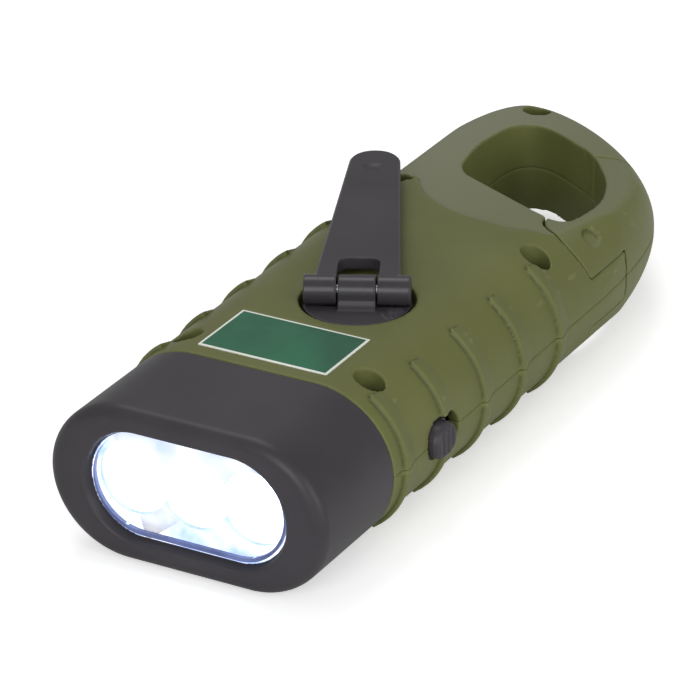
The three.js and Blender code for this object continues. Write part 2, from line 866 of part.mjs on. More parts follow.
// Plates that carry the gear pins, screwed to posts of the lower casing
const topPlateZ = levelC + gearThick + platesGap;
function hull2d(circles, z0, z1) {
  const points = circles.flatMap(([x, y, r]) =>
    Array.from({ length: 16 }, (_, i) => polar(x, y, r, (360 * i) / 16)),
  );
  const sorted = points.sort((a, b) => a[0] - b[0] || a[1] - b[1]);
  const turn = (o, a, b) => (a[0] - o[0]) * (b[1] - o[1]) - (a[1] - o[1]) * (b[0] - o[0]);
  const chain = (list) => {
    const kept = [];
    for (const p of list) {
      while (kept.length > 1 && turn(kept.at(-2), kept.at(-1), p) <= 0) kept.pop();
      kept.push(p);
    }
    return kept.slice(0, -1);
  };
  const ring = [...chain(sorted), ...chain([...sorted].reverse())];
  return slab(new THREE.Shape(ring.map((p) => new THREE.Vector2(...p))), z0, z1);
}
function gearPlates() {
  const earAt = ([x, y]) => [x, y, plateEarR];
  const legEar = ([x, y]) => [x, y, legEarR];
  const carried = [...posts.map(([, x, y]) => [x, y]), secondAt, rotorAt].map(earAt);
  const base = hull2d([...carried, ...legs.map(legEar)], basePlateZ, basePlateZ + basePlateThick);
  const bores = [
    ...posts.map(([, x, y]) => rod(x, y, 0, bodyHeight, postScrewR + runFit, 14)),
    ...[firstAt, secondAt, rotorAt].map((at) => rod(...at, 0, bodyHeight, gearPinR + runFit, 14)),
  ];
  place("gear_base_plate", without(base, ...bores), steel);
  const bars = [
    [earAt(firstAt), earAt(secondAt)],
    [earAt(secondAt), legEar(legs[0])],
    [earAt(firstAt), legEar(legs[1])],
  ].map((ends) => hull2d(ends, topPlateZ, topPlateZ + topPlateThick));
  const legRods = legs.map(([x, y]) =>
    rod(x, y, basePlateZ + basePlateThick, topPlateZ + gap, legR, 14),
  );
  const top = joined(...bars, ...legRods);
  const pinBores = [firstAt, secondAt].map((at) =>
    rod(...at, 0, bodyHeight, gearPinR + runFit, 14),
  );
  place("gear_top_plate", without(top, ...pinBores), steel);
  for (const [name, x, y] of posts) {
    const solid = screwSolid(postScrewLength, postScrewHeadR, postScrewHeadH, postScrewR);
    place(name, solid.translate([x, y, basePlateZ + basePlateThick]), steel);
  }
}

// Generator: magnet rotor on its shaft, coil on a bobbin, steel cup
function generator() {
  place(
    "magnet_rotor",
    ringRod(...rotorAt, magnetZ, magnetZ + magnetHeight, magnetR, rotorShaftR + runFit, 28),
    magnetGrey,
  );
  place(
    "rotor_shaft",
    rod(...rotorAt, rotorShaftFoot, levelA + gearThick + gap, rotorShaftR, 12),
    steel,
  );
  const pinion = gear(
    rotorAt,
    pinionTeeth,
    facing(rotorDeg, pinionTeeth),
    levelA,
    levelA + gearThick,
  ).subtract(rod(...rotorAt, 0, bodyHeight, rotorShaftR + runFit, 12));
  place("rotor_pinion", pinion, brass);
  const cup = joined(
    ringRod(...rotorAt, statorZ, statorZ + statorHeight, statorR, statorR - statorWall, 36),
    ringRod(
      ...rotorAt,
      statorZ + statorHeight - statorWall,
      statorZ + statorHeight,
      statorR,
      coilInnerR,
      36,
    ),
  );
  place("stator_cup", cup, steel);
  const coilTopZ = statorZ + statorHeight - statorWall - gap;
  const coilOuterR = statorR - statorWall - gap;
  const bobbin = joined(
    ringRod(...rotorAt, statorZ, coilTopZ, coilInnerR + coilFlange / 2, coilInnerR, 32),
    ringRod(...rotorAt, statorZ, statorZ + coilFlange, coilOuterR, coilInnerR, 32),
  );
  place("coil_bobbin", bobbin, blackWire);
  const copperInnerR = coilInnerR + coilFlange / 2 + gap / 3;
  place(
    "coil_winding",
    ringRod(...rotorAt, statorZ + coilFlange + gap / 2, coilTopZ, coilOuterR, copperInnerR, 32),
    copper,
  );
}

// Crank disc with its shaft and middle knuckle, at its resting turn
const hingeZ = discTopZ + knuckleRise;
const turnCrank = (solid) => solid.rotate([0, 0, crankTurnDeg]).translate([...crankAt, 0]);
function crankDisc() {
  const knuckle = joined(
    rodAlongX(-knuckleHalf, knuckleHalf, 0, hingeZ, knuckleR, 24),
    block(-knuckleHalf, knuckleHalf, -knuckleR, knuckleR, discTopZ - gap, hingeZ),
  );
  const shaft = joined(
    rod(0, 0, potCeiling - potFloor - gap, discBottomZ + gap, shaftR, 24),
    block(
      -shaftFlat / 2,
      shaftFlat / 2,
      -shaftFlat / 2,
      shaftFlat / 2,
      levelC + gap,
      potCeiling - potFloor,
    ).rotate([0, 0, -crankTurnDeg]),
  );
  const barrelBeds = [-1, 1].map((side) =>
    rodAlongX(
      Math.min(side * knuckleHalf, side * (armKnuckleEnd + gap)),
      Math.max(side * knuckleHalf, side * (armKnuckleEnd + gap)),
      0,
      hingeZ,
      knuckleR + gap,
      24,
    ),
  );
  const body = joined(rod(0, 0, discBottomZ, discTopZ, discR, 48), knuckle, shaft);
  const bored = without(
    body,
    ...barrelBeds,
    rodAlongX(-2 * knuckleHalf, 2 * knuckleHalf, 0, hingeZ, hingePinR + runFit, 18),
    rod(0, 0, 0, discBottomZ - gap, postScrewR + runFit, 14),
  );
  place("crank_disc", turnCrank(bored), charcoal);
}
function crankArm() {
  const shape = new THREE.Shape();
  const tipCentre = armLength - armTipHalf;
  shape.moveTo(-armBaseHalf, 0);
  shape.lineTo(armBaseHalf, 0);
  shape.lineTo(armTipHalf, tipCentre);
  shape.absarc(0, tipCentre, armTipHalf, 0, Math.PI, false);
  shape.closePath();
  const armTopZ = hingeZ + knuckleR;
  const plate = slab(shape, armTopZ - armThick, armTopZ, 10);
  const inner = knuckleHalf + knuckleGap;
  const knuckles = [-1, 1].map((side) =>
    rodAlongX(
      Math.min(side * inner, side * armKnuckleEnd),
      Math.max(side * inner, side * armKnuckleEnd),
      0,
      hingeZ,
      knuckleR,
      24,
    ),
  );
  const windowShape = new THREE.Shape();
  const archStart = armWindowEnd - armWindowHalf / 2;
  windowShape.moveTo(-armWindowHalf, -knuckleR - over);
  windowShape.lineTo(armWindowHalf, -knuckleR - over);
  windowShape.lineTo(armWindowHalf, archStart);
  windowShape.quadraticCurveTo(armWindowHalf, armWindowEnd, 0, armWindowEnd);
  windowShape.quadraticCurveTo(-armWindowHalf, armWindowEnd, -armWindowHalf, archStart);
  windowShape.closePath();
  const knobY = armLength - knobFromTip;
  const rivetTopZ = armTopZ - armThick + knobRivetGrip;
  const arm = without(
    joined(plate, ...knuckles),
    slab(windowShape, hingeZ - 2 * knuckleR, armTopZ + over, 6),
    rodAlongX(-2 * armKnuckleEnd, 2 * armKnuckleEnd, 0, hingeZ, hingePinR + runFit, 18),
    rod(0, knobY, hingeZ - knuckleR, rivetTopZ + runFit, knobRivetR + runFit, 16),
  );
  place("crank_arm", turnCrank(arm), charcoal);
  const pin = rodAlongX(-hingePinHalf, hingePinHalf, 0, hingeZ, hingePinR, 16);
  place("crank_hinge_pin", turnCrank(pin), steel);

  // The knob hides under the arm's tip and turns on a rivet
  const knobTopZ = armTopZ - armThick - gap / 2;
  const knobBottomZ = knobTopZ - knobThick;
  const headRoomZ = knobBottomZ + knobRivetSunk + knobRivetHeadH + runFit;
  const knob = without(
    rod(0, knobY, knobBottomZ, knobTopZ, knobR, 32),
    rod(0, knobY, 0, headRoomZ, knobRivetHeadR + gap, 24),
    rod(0, knobY, 0, bodyHeight * 2, knobRivetR + runFit, 16),
  );
  place("crank_knob", turnCrank(knob), charcoal);
  const rivetFoot = knobBottomZ + knobRivetSunk;
  const rivet = joined(
    rod(0, knobY, rivetFoot, rivetFoot + knobRivetHeadH, knobRivetHeadR, 20),
    rod(0, knobY, rivetFoot, rivetTopZ, knobRivetR, 16),
  );
  place("knob_rivet", turnCrank(rivet), steel);
  const crankScrew = screwSolid(crankScrewLength, crankScrewHeadR, postScrewHeadH, postScrewR);
  place("crank_screw", crankScrew.rotate([180, 0, 0]).translate([...crankAt, levelC]), steel);
}

// Head: the same section as the casing, drawn along Y
function sectionRing(y, inset, quarter = 8) {
  const flat = halfWidth - edgeRun;
  const ring = [];
  for (const side of [1, -1]) {
    for (let step = 0; step <= 2 * quarter; step++) {
      const turned = side > 0 ? step : 2 * quarter - step;
      const angle = (turned / quarter) * (Math.PI / 2);
      const x = side * (flat + (edgeRun - inset) * Math.sin(angle));
      const z = partingZ + (partingZ - inset) * Math.cos(angle);
      ring.push({ x, y, z, u: z, v: x });
    }
  }
  return ring;
}
function sectionBar(y0, y1, inset) {
  return stack([sectionRing(y0, inset), sectionRing(y1, inset)]);
}
function stadiumRing(y, wide, high, quarter = 6) {
  const ring = [];
  for (const side of [1, -1]) {
    for (let step = 0; step <= 2 * quarter; step++) {
      const turned = side > 0 ? step : 2 * quarter - step;
      const angle = (turned / quarter) * (Math.PI / 2);
      const x = side * (wide - high + high * Math.sin(angle));
      const z = partingZ + high * Math.cos(angle);
      ring.push({ x, y, z, u: z, v: x });
    }
  }
  return ring;
}
function stadiumBar(y0, y1, wide, high) {
  return stack([stadiumRing(y0, wide, high), stadiumRing(y1, wide, high)]);
}
// A turned solid round a line along Y; the profile is a list of [distance along Y, radius]
function turnedAlongY(x, profile, sides = 24) {
  const points = profile.map(([along, radius]) => new THREE.Vector2(radius, along));
  const geometry = new THREE.LatheGeometry(points, sides);
  geometry.translate(x, 0, partingZ);
  return solidOf(geometry);
}
const lensFrontY = headFrontY + headLip;
const mouthY = lensFrontY + lensThick;
const cupFloorY = mouthY + reflectorDepth;
const ledBoardY = cupFloorY + ledFlangeH;
const ledPlaces = [
  ["led_left", -ledPitch],
  ["led_middle", 0],
  ["led_right", ledPitch],
];
function headBezel() {
  const rounded = [];
  for (let step = 0; step <= headEdgeSteps; step++) {
    const angle = (step / headEdgeSteps) * (Math.PI / 2);
    const inset = headEdge * (1 - Math.sin(angle));
    rounded.push(sectionRing(headFrontY + headEdge * (1 - Math.cos(angle)), inset));
  }
  rounded.push(sectionRing(headJointY, 0));
  const plugStartY = headJointY - plugWall - gap;
  const plugEndY = headJointY + headPlug;
  const outer = stack(rounded).add(sectionBar(plugStartY, plugEndY, wall + gap / 2));
  const lipTaper = [
    stadiumRing(headFrontY - over, windowHalfWidth + over / 2, windowHalfHeight + over / 2),
    stadiumRing(lensFrontY + over, windowHalfWidth - lipSlope, windowHalfHeight - lipSlope),
  ];
  const bezel = without(
    outer,
    stack(lipTaper),
    sectionBar(lensFrontY, plugStartY, wall),
    sectionBar(plugStartY - over, plugEndY + over, wall + gap / 2 + plugWall),
  );
  place("head_bezel", bezel, charcoal);
}
function headOptics() {
  const lensWide = windowHalfWidth + lensBorder;
  const lensHigh = windowHalfHeight + lensBorder;
  place("lens", stadiumBar(lensFrontY, mouthY, lensWide, lensHigh), clear);
  const bowlWide = ledPitch + cupR + cupWall;
  const bowl = stadiumBar(mouthY, cupFloorY, bowlWide, cupR + cupWall);
  const flange = stadiumBar(mouthY, mouthY + reflectorPlate, lensWide, lensHigh);
  const cups = ledPlaces.map(([, x]) => {
    const profile = [[mouthY - over, 0], [mouthY - over, cupR]];
    for (let step = 0; step <= cupSteps; step++) {
      const share = step / cupSteps;
      const radius = Math.sqrt(cupR ** 2 - (cupR ** 2 - cupFloorR ** 2) * share);
      profile.push([mouthY + share * (reflectorDepth - cupFloorThick), radius]);
    }
    profile.push([cupFloorY - cupFloorThick, ledR + runFit]);
    profile.push([cupFloorY + over, ledR + runFit]);
    profile.push([cupFloorY + over, 0]);
    return turnedAlongY(x, profile, 20);
  });
  place("reflector", without(bowl.add(flange), ...cups), mirror);
  for (const [name, x] of ledPlaces) {
    const tipY = cupFloorY + ledFlangeH - ledLength;
    const profile = [];
    for (let step = 0; step <= domeSteps; step++) {
      const angle = (step / domeSteps) * (Math.PI / 2);
      profile.push([tipY + ledR * (1 - Math.cos(angle)), ledR * Math.sin(angle)]);
    }
    profile.push([cupFloorY, ledR]);
    profile.push([cupFloorY, ledFlangeR]);
    profile.push([ledBoardY, ledFlangeR]);
    profile.push([ledBoardY, 0]);
    place(name, turnedAlongY(x, profile, 14), clear);
  }
  const boardWide = bowlWide - gap;
  place("led_board", stadiumBar(ledBoardY, ledBoardY + boardThick, boardWide, ledBoardHalf), boardGreen);
}

// Battery, circuit board and slide switch
function electrics() {
  const end = batteryLength / 2;
  const cell = joined(
    rodAlongX(batteryX - end, batteryX + end, batteryY, batteryZ, batteryR, 32),
    rodAlongX(batteryX, batteryX + end + tabThick, batteryY, batteryZ, tabR, 20),
    rodAlongX(batteryX - end - tabThick, batteryX, batteryY, batteryZ, tabR, 20),
  );
  place("battery_pack", cell, sleeveGreen);
  const switchX = boardX + boardThick;
  const board = block(boardX, switchX, boardFrontY, boardRearY, boardLowZ, boardHighZ);
  place("circuit_board", board, boardGreen);
  const switchMiddle = switchY + buttonTravel / 2;
  const bodyTop = switchX + switchBodyX;
  const housing = block(
    switchX,
    bodyTop,
    switchMiddle - switchBodyHalf,
    switchMiddle + switchBodyHalf,
    partingZ - switchBodyH / 2,
    partingZ + switchBodyH / 2,
  );
  const leverSlot = block(
    bodyTop - leverSunk - runFit,
    bodyTop + over,
    switchY - leverHalf - runFit,
    switchY + leverHalf + buttonTravel + runFit,
    partingZ - leverHalf - runFit,
    partingZ + leverHalf + runFit,
  );
  place("switch_housing", housing.subtract(leverSlot), blackWire);
  const flangeBackX = flangeX - buttonFlange;
  const lever = (grow, x0, x1) =>
    block(
      x0,
      x1,
      switchY - leverHalf - grow,
      switchY + leverHalf + grow,
      partingZ - leverHalf - grow,
      partingZ + leverHalf + grow,
    );
  const leverEndX = flangeBackX + leverPocket - runFit;
  place("switch_lever", lever(0, bodyTop - leverSunk, leverEndX), whitePlastic);

  // The button is a rounded block with upright grooves and a flange inside the wall
  const outline = new THREE.Shape();
  const halfY = buttonLength / 2;
  const halfZ = buttonHeight / 2;
  outline.moveTo(-halfY, -halfZ + buttonCorner);
  outline.quadraticCurveTo(-halfY, -halfZ, -halfY + buttonCorner, -halfZ);
  outline.lineTo(halfY - buttonCorner, -halfZ);
  outline.quadraticCurveTo(halfY, -halfZ, halfY, -halfZ + buttonCorner);
  outline.lineTo(halfY, halfZ - buttonCorner);
  outline.quadraticCurveTo(halfY, halfZ, halfY - buttonCorner, halfZ);
  outline.lineTo(-halfY + buttonCorner, halfZ);
  outline.quadraticCurveTo(-halfY, halfZ, -halfY, halfZ - buttonCorner);
  const topX = halfWidth + buttonRise;
  const geometry = new THREE.ExtrudeGeometry(outline, {
    depth: topX - flangeX - buttonBevel,
    bevelEnabled: true,
    bevelThickness: buttonBevel,
    bevelSize: buttonBevel,
    bevelOffset: -buttonBevel,
    bevelSegments: 2,
    curveSegments: 4,
  });
  geometry.rotateX(Math.PI / 2);
  geometry.rotateZ(Math.PI / 2);
  geometry.translate(flangeX, switchY, partingZ);
  const flange = block(
    flangeBackX,
    flangeX + gap / 2,
    switchY - halfY - buttonLip,
    switchY + halfY + buttonLip,
    partingZ - halfZ - buttonLip,
    partingZ + halfZ + buttonLip,
  );
  const grooves = [];
  const groovePitch = (buttonLength - 2 * buttonCorner) / buttonGrooves;
  for (let i = 0; i < buttonGrooves; i++) {
    const y = switchY + (i - (buttonGrooves - 1) / 2) * groovePitch;
    grooves.push(
      block(topX - grooveDepth, topX + over, y - grooveWidth / 2, y + grooveWidth / 2, 0, bodyHeight),
    );
  }
  const button = solidOf(geometry).add(flange);
  place(
    "switch_button",
    without(button, lever(runFit, flangeBackX - over, flangeBackX + leverPocket), ...grooves),
    charcoal,
  );
}

// Gate halves, pin and spring
function gate() {
  const whole = plainBody.subtract(loopHole).intersect(gateSector.add(gateEars));
  const cleared = whole.subtract(tongueSpace);
  const bore = rod(pivotX, pivotY, -over, bodyHeight + over, gatePinR + runFit, 20);
  const well = rod(pivotX, pivotY, gatePinSeatZ, bodyHeight + over, gateWellR, 20);
  place("gate_upper", without(cleared.intersect(upperSpace), bore, well), green);
  place("gate_lower", cleared.intersect(lowerSpace).subtract(bore), green);
  const pin = joined(
    rod(pivotX, pivotY, gatePinFootZ, gatePinSeatZ + gatePinHeadH / 2, gatePinR, 18),
    rod(pivotX, pivotY, gatePinSeatZ, gatePinSeatZ + gatePinHeadH, gatePinHeadR, 20),
  );
  place("gate_pin", pin, steel);
  const points = [];
  const coilHeight = springPocketH - 4 * springWireR;
  const steps = springTurns * springPointsPerTurn;
  points.push([pivotX - springCoilR, pivotY + springLeg - springWireR, partingZ - coilHeight / 2]);
  for (let i = 0; i <= steps; i++) {
    const angle = Math.PI + (2 * Math.PI * i) / springPointsPerTurn;
    points.push([
      pivotX + springCoilR * Math.cos(angle),
      pivotY + springCoilR * Math.sin(angle),
      partingZ - coilHeight / 2 + (coilHeight * i) / steps,
    ]);
  }
  points.push([pivotX - springCoilR, pivotY - springLeg + springWireR, partingZ + coilHeight / 2]);
  place("gate_spring", tube(points, springWireR, springSides, steps), steel);
}

// Wires, each along its real route
const boardEnd = boardX - wireFit;
const ledEnd = ledBoardY + boardThick + wireFit;
const rotorSide = rotorAt[0] + statorR + wireFit;
const batteryRight = batteryX + batteryLength / 2 + tabThick + wireFit;
const batteryLeft = batteryX - batteryLength / 2 - tabThick - wireFit;
const wireRoutes = {
  led_wire_red: [
    [10.6, ledEnd, 16.4],
    [10.6, -32, 18.9],
    [10.8, -24, 19.2],
    [12, -18.6, 17.6],
    [boardEnd, -17.2, 17],
  ],
  led_wire_black: [
    [9, ledEnd, 16.4],
    [9, -32, 18.9],
    [9.2, -24, 19.2],
    [11.2, -17.6, 16.6],
    [boardEnd, -16, 15],
  ],
  battery_wire_red: [
    [batteryRight, -21, 10.2],
    [11.2, -20.3, 10.4],
    [12.2, -18.2, 9.6],
    [boardEnd, -17.4, 9],
  ],
  battery_wire_black: [
    [batteryLeft, -21, 10.2],
    [-13.2, -18, 8.5],
    [-11.6, -12, 6],
    [0, -10.9, 4.6],
    [10, -10.4, 5.6],
    [12.4, -9.6, 7],
    [boardEnd, -8.8, 7.4],
  ],
  coil_wire_red: [
    [rotorSide, rotorAt[1], 7],
    [8, 1.6, 7.2],
    [11, 1.2, 8.2],
    [boardEnd, 1, 9],
  ],
  coil_wire_black: [
    [rotorSide, rotorAt[1] - 2, 8.8],
    [8, -0.6, 9],
    [11, -1, 9.8],
    [boardEnd, -1.2, 10.6],
  ],
};
function wires() {
  for (const [name, route] of Object.entries(wireRoutes)) {
    const colour = name.endsWith("red") ? redWire : blackWire;
    place(name, tube(route, wireR, wireSides, 2 * route.length), colour);
  }
}

place("top_shell", topShell(), green);
place("bottom_shell", bottomShell(), green);
place("label_panel", labelPlate(0, labelThick), labelPaint);
headBezel();
headOptics();
crankDisc();
crankArm();
crankTrain();
gearPlates();
generator();
electrics();
gate();
wires();
shellScrews.forEach(shellScrew);

export default flashlight;
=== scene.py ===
import json
import math

import bpy
from mathutils import Matrix, Vector


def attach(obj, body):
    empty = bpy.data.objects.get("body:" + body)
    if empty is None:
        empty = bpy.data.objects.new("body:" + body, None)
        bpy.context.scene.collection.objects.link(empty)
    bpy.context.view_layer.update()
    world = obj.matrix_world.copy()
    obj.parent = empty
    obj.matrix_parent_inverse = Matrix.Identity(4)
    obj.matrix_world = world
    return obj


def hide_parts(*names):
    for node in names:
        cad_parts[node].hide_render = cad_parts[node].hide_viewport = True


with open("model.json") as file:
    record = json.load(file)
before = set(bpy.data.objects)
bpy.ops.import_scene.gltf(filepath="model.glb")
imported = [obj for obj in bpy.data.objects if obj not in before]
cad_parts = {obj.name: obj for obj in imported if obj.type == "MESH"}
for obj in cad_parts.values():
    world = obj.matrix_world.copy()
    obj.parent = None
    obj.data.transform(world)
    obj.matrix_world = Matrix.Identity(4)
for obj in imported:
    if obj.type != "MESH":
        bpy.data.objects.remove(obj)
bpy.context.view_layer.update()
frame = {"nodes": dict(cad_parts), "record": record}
nodes = frame["nodes"]
MM = 0.001

# The photograph's view
VIEW_AZIMUTH = 29.97
VIEW_ELEVATION = 26.52
VIEW_ROLL = -1.0
VIEW_DISTANCE = 0.6973
VIEW_TARGET = Vector((0, 0, 0.014))
VIEW_FOCAL_PIXELS = 4251
PHOTO_PIXELS = 700
SENSOR = 36.0
CENTRE_X_PIXELS = 356
CENTRE_Y_PIXELS = 360


def add_camera():
    azimuth = math.radians(VIEW_AZIMUTH)
    elevation = math.radians(VIEW_ELEVATION)
    roll = math.radians(VIEW_ROLL)
    back = Vector(
        (
            math.sin(azimuth) * math.cos(elevation),
            -math.cos(azimuth) * math.cos(elevation),
            math.sin(elevation),
        )
    )
    level = Vector((math.cos(azimuth), math.sin(azimuth), 0))
    upright = back.cross(level)
    right = math.cos(roll) * level + math.sin(roll) * upright
    up = math.cos(roll) * upright - math.sin(roll) * level
    place = VIEW_TARGET + VIEW_DISTANCE * back
    camera = bpy.data.objects.new("camera", bpy.data.cameras.new("camera"))
    bpy.context.collection.objects.link(camera)
    camera.data.sensor_width = SENSOR
    camera.data.lens = VIEW_FOCAL_PIXELS / PHOTO_PIXELS * SENSOR
    camera.data.shift_x = 0.5 - CENTRE_X_PIXELS / PHOTO_PIXELS
    camera.data.shift_y = CENTRE_Y_PIXELS / PHOTO_PIXELS - 0.5
    camera.data.clip_end = 20
    turned = Matrix((right, up, back)).transposed().to_4x4()
    camera.matrix_world = Matrix.Translation(place) @ turned
    bpy.context.scene.camera = camera


add_camera()


# Materials
def linear(code):
    def channel(value):
        share = value / 255
        return share / 12.92 if share <= 0.04045 else ((share + 0.055) / 1.055) ** 2.4

    return tuple(channel(int(code[i : i + 2], 16)) for i in (0, 2, 4)) + (1.0,)


def start_material(name):
    material = bpy.data.materials.new(name)
    material.use_nodes = True
    shader = material.node_tree.nodes["Principled BSDF"]
    return material, material.node_tree, shader


def noise(tree, scale, detail=3.0, stretch=(1, 1, 1)):
    place = tree.nodes.new("ShaderNodeTexCoord")
    mapping = tree.nodes.new("ShaderNodeMapping")
    mapping.inputs["Scale"].default_value = stretch
    texture = tree.nodes.new("ShaderNodeTexNoise")
    texture.inputs["Scale"].default_value = scale
    texture.inputs["Detail"].default_value = detail
    tree.links.new(place.outputs["Object"], mapping.inputs["Vector"])
    tree.links.new(mapping.outputs["Vector"], texture.inputs["Vector"])
    return texture


def ramp(tree, source, stops):
    node = tree.nodes.new("ShaderNodeValToRGB")
    while len(node.color_ramp.elements) < len(stops):
        node.color_ramp.elements.new(0.5)
    for element, (place, colour) in zip(node.color_ramp.elements, stops):
        element.position = place
        element.color = colour
    tree.links.new(source, node.inputs["Fac"])
    return node


def spread(tree, source, low, high):
    node = tree.nodes.new("ShaderNodeMapRange")
    node.inputs["To Min"].default_value = low
    node.inputs["To Max"].default_value = high
    tree.links.new(source, node.inputs["Value"])
    return node.outputs["Result"]


def bumps(tree, shader, layers):
    """layers: (height source, strength, distance in mm), from the finest up"""
    normal = None
    for source, strength, distance in layers:
        node = tree.nodes.new("ShaderNodeBump")
        node.inputs["Strength"].default_value = strength
        node.inputs["Distance"].default_value = distance * MM
        tree.links.new(source, node.inputs["Height"])
        if normal is not None:
            tree.links.new(normal, node.inputs["Normal"])
        normal = node.outputs["Normal"]
    tree.links.new(normal, shader.inputs["Normal"])


def mixed(tree, share, colour, other):
    """the colour turned towards the other one by a share"""
    mix = tree.nodes.new("ShaderNodeMix")
    mix.data_type = "RGBA"
    for socket in mix.inputs:
        if socket.type == "RGBA" and socket.name == "A":
            tree.links.new(colour, socket)
        if socket.type == "RGBA" and socket.name == "B":
            socket.default_value = other
    tree.links.new(share, mix.inputs["Factor"])
    return next(socket for socket in mix.outputs if socket.type == "RGBA")


def product(tree, one, other):
    node = tree.nodes.new("ShaderNodeMath")
    node.operation = "MULTIPLY"
    tree.links.new(one, node.inputs[0])
    tree.links.new(other, node.inputs[1])
    return node.outputs["Value"]


# Pointiness at which the wear and painted highlight on an edge starts and is full, and the same
# for the painted shade in a crease
EDGE_START = 0.522
EDGE_FULL = 0.57
CREASE_START = 0.494
CREASE_FULL = 0.455
EDGE_WEAR_AND_HIGHLIGHT = 0.4
CREASE_SHADE = 0.8


def grey(share):
    return (share, share, share, 1)


def worn_and_highlit_edges(tree, colour, wear_and_highlight, amount):
    """the colour, turned unevenly towards a lighter one along the sharper edges, partly as wear
    and partly as a painted highlight
    """
    place = tree.nodes.new("ShaderNodeNewGeometry")
    stops = [(EDGE_START, grey(0)), (EDGE_FULL, grey(amount))]
    edge = ramp(tree, place.outputs["Pointiness"], stops)
    patches = noise(tree, 260, 3)
    patchy = spread(tree, patches.outputs["Fac"], 0.2, 1.2)
    return mixed(tree, product(tree, edge.outputs["Color"], patchy), colour, wear_and_highlight)


def shaded_creases(tree, colour, crease_shade, amount):
    """the colour with painted shade: darker where the skin folds inwards"""
    place = tree.nodes.new("ShaderNodeNewGeometry")
    stops = [(CREASE_FULL, grey(amount)), (CREASE_START, grey(0))]
    crease = ramp(tree, place.outputs["Pointiness"], stops)
    return mixed(tree, crease.outputs["Color"], colour, crease_shade)


def painted(tree, name):
    node = tree.nodes.new("ShaderNodeAttribute")
    node.attribute_name = name
    return node.outputs["Fac"]


def moulded_plastic(
    name,
    dark,
    light,
    roughness=(0.38, 0.5),
    grain=1400,
    grain_height=0.02,
    shine=0.3,
    wear_and_highlight=None,
    crease_shade=None,
    patch=None,
    patch_sheen_colour=None,
    patch_roughness=0.0,
):
    material, tree, shader = start_material(name)
    shader.inputs["Specular IOR Level"].default_value = shine
    cloud = noise(tree, 60, 4)
    colour = ramp(tree, cloud.outputs["Fac"], [(0.35, linear(dark)), (0.65, linear(light))])
    colour = colour.outputs["Color"]
    # lighter sharper edges: partly wear, partly a painted highlight
    if wear_and_highlight:
        colour = worn_and_highlit_edges(tree, colour, linear(wear_and_highlight), EDGE_WEAR_AND_HIGHLIGHT)
    # painted shade: darker where the skin folds inwards
    if crease_shade:
        colour = shaded_creases(tree, colour, linear(crease_shade), CREASE_SHADE)
    # a painted sheen, lighter and greyer, where the patch's share says
    if patch_sheen_colour:
        colour = mixed(tree, painted(tree, patch), colour, linear(patch_sheen_colour))
    tree.links.new(colour, shader.inputs["Base Color"])
    wipe = noise(tree, 140, 5, (1, 0.4, 1))
    rough = spread(tree, wipe.outputs["Fac"], *roughness)
    if patch:
        smoother = tree.nodes.new("ShaderNodeMath")
        smoother.operation = "MULTIPLY_ADD"
        smoother.inputs[1].default_value = patch_roughness
        tree.links.new(painted(tree, patch), smoother.inputs[0])
        tree.links.new(rough, smoother.inputs[2])
        rough = smoother.outputs["Value"]
    tree.links.new(rough, shader.inputs["Roughness"])
    fine = noise(tree, grain, 2)
    sink = noise(tree, 90, 2)
    bumps(
        tree,
        shader,
        [(fine.outputs["Fac"], 0.35, grain_height), (sink.outputs["Fac"], 0.15, 0.05)],
    )
    return material


def bare_metal(name, dark, light, roughness=(0.2, 0.38), stretch=(1, 1, 8)):
    material, tree, shader = start_material(name)
    shader.inputs["Metallic"].default_value = 1.0
    brush = noise(tree, 500, 4, stretch)
    colour = ramp(tree, brush.outputs["Fac"], [(0.3, linear(dark)), (0.7, linear(light))])
    tree.links.new(colour.outputs["Color"], shader.inputs["Base Color"])
    rough = spread(tree, brush.outputs["Fac"], *roughness)
    tree.links.new(rough, shader.inputs["Roughness"])
    bumps(tree, shader, [(brush.outputs["Fac"], 0.2, 0.01)])
    return material


def clear_plastic(name, tint, roughness=0.03):
    material, tree, shader = start_material(name)
    haze = noise(tree, 300, 3)
    colour = ramp(tree, haze.outputs["Fac"], [(0.2, linear(tint)), (0.8, (1, 1, 1, 1))])
    tree.links.new(colour.outputs["Color"], shader.inputs["Base Color"])
    rough = spread(tree, haze.outputs["Fac"], roughness, roughness + 0.03)
    tree.links.new(rough, shader.inputs["Roughness"])
    shader.inputs["Transmission Weight"].default_value = 1.0
    shader.inputs["IOR"].default_value = 1.15
    bumps(tree, shader, [(haze.outputs["Fac"], 0.03, 0.02)])
    return material


def lit_material(name, dark, light, strength, metallic=0.0, roughness=0.15, scale=900):
    material, tree, shader = start_material(name)
    glow = noise(tree, scale, 2)
    colour = ramp(tree, glow.outputs["Fac"], [(0.3, linear(dark)), (0.7, linear(light))])
    tree.links.new(colour.outputs["Color"], shader.inputs["Base Color"])
    tree.links.new(colour.outputs["Color"], shader.inputs["Emission Color"])
    shader.inputs["Emission Strength"].default_value = strength
    shader.inputs["Metallic"].default_value = metallic
    rough = spread(tree, glow.outputs["Fac"], roughness, roughness + 0.05)
    tree.links.new(rough, shader.inputs["Roughness"])
    bumps(tree, shader, [(glow.outputs["Fac"], 0.05, 0.02)])
    return material


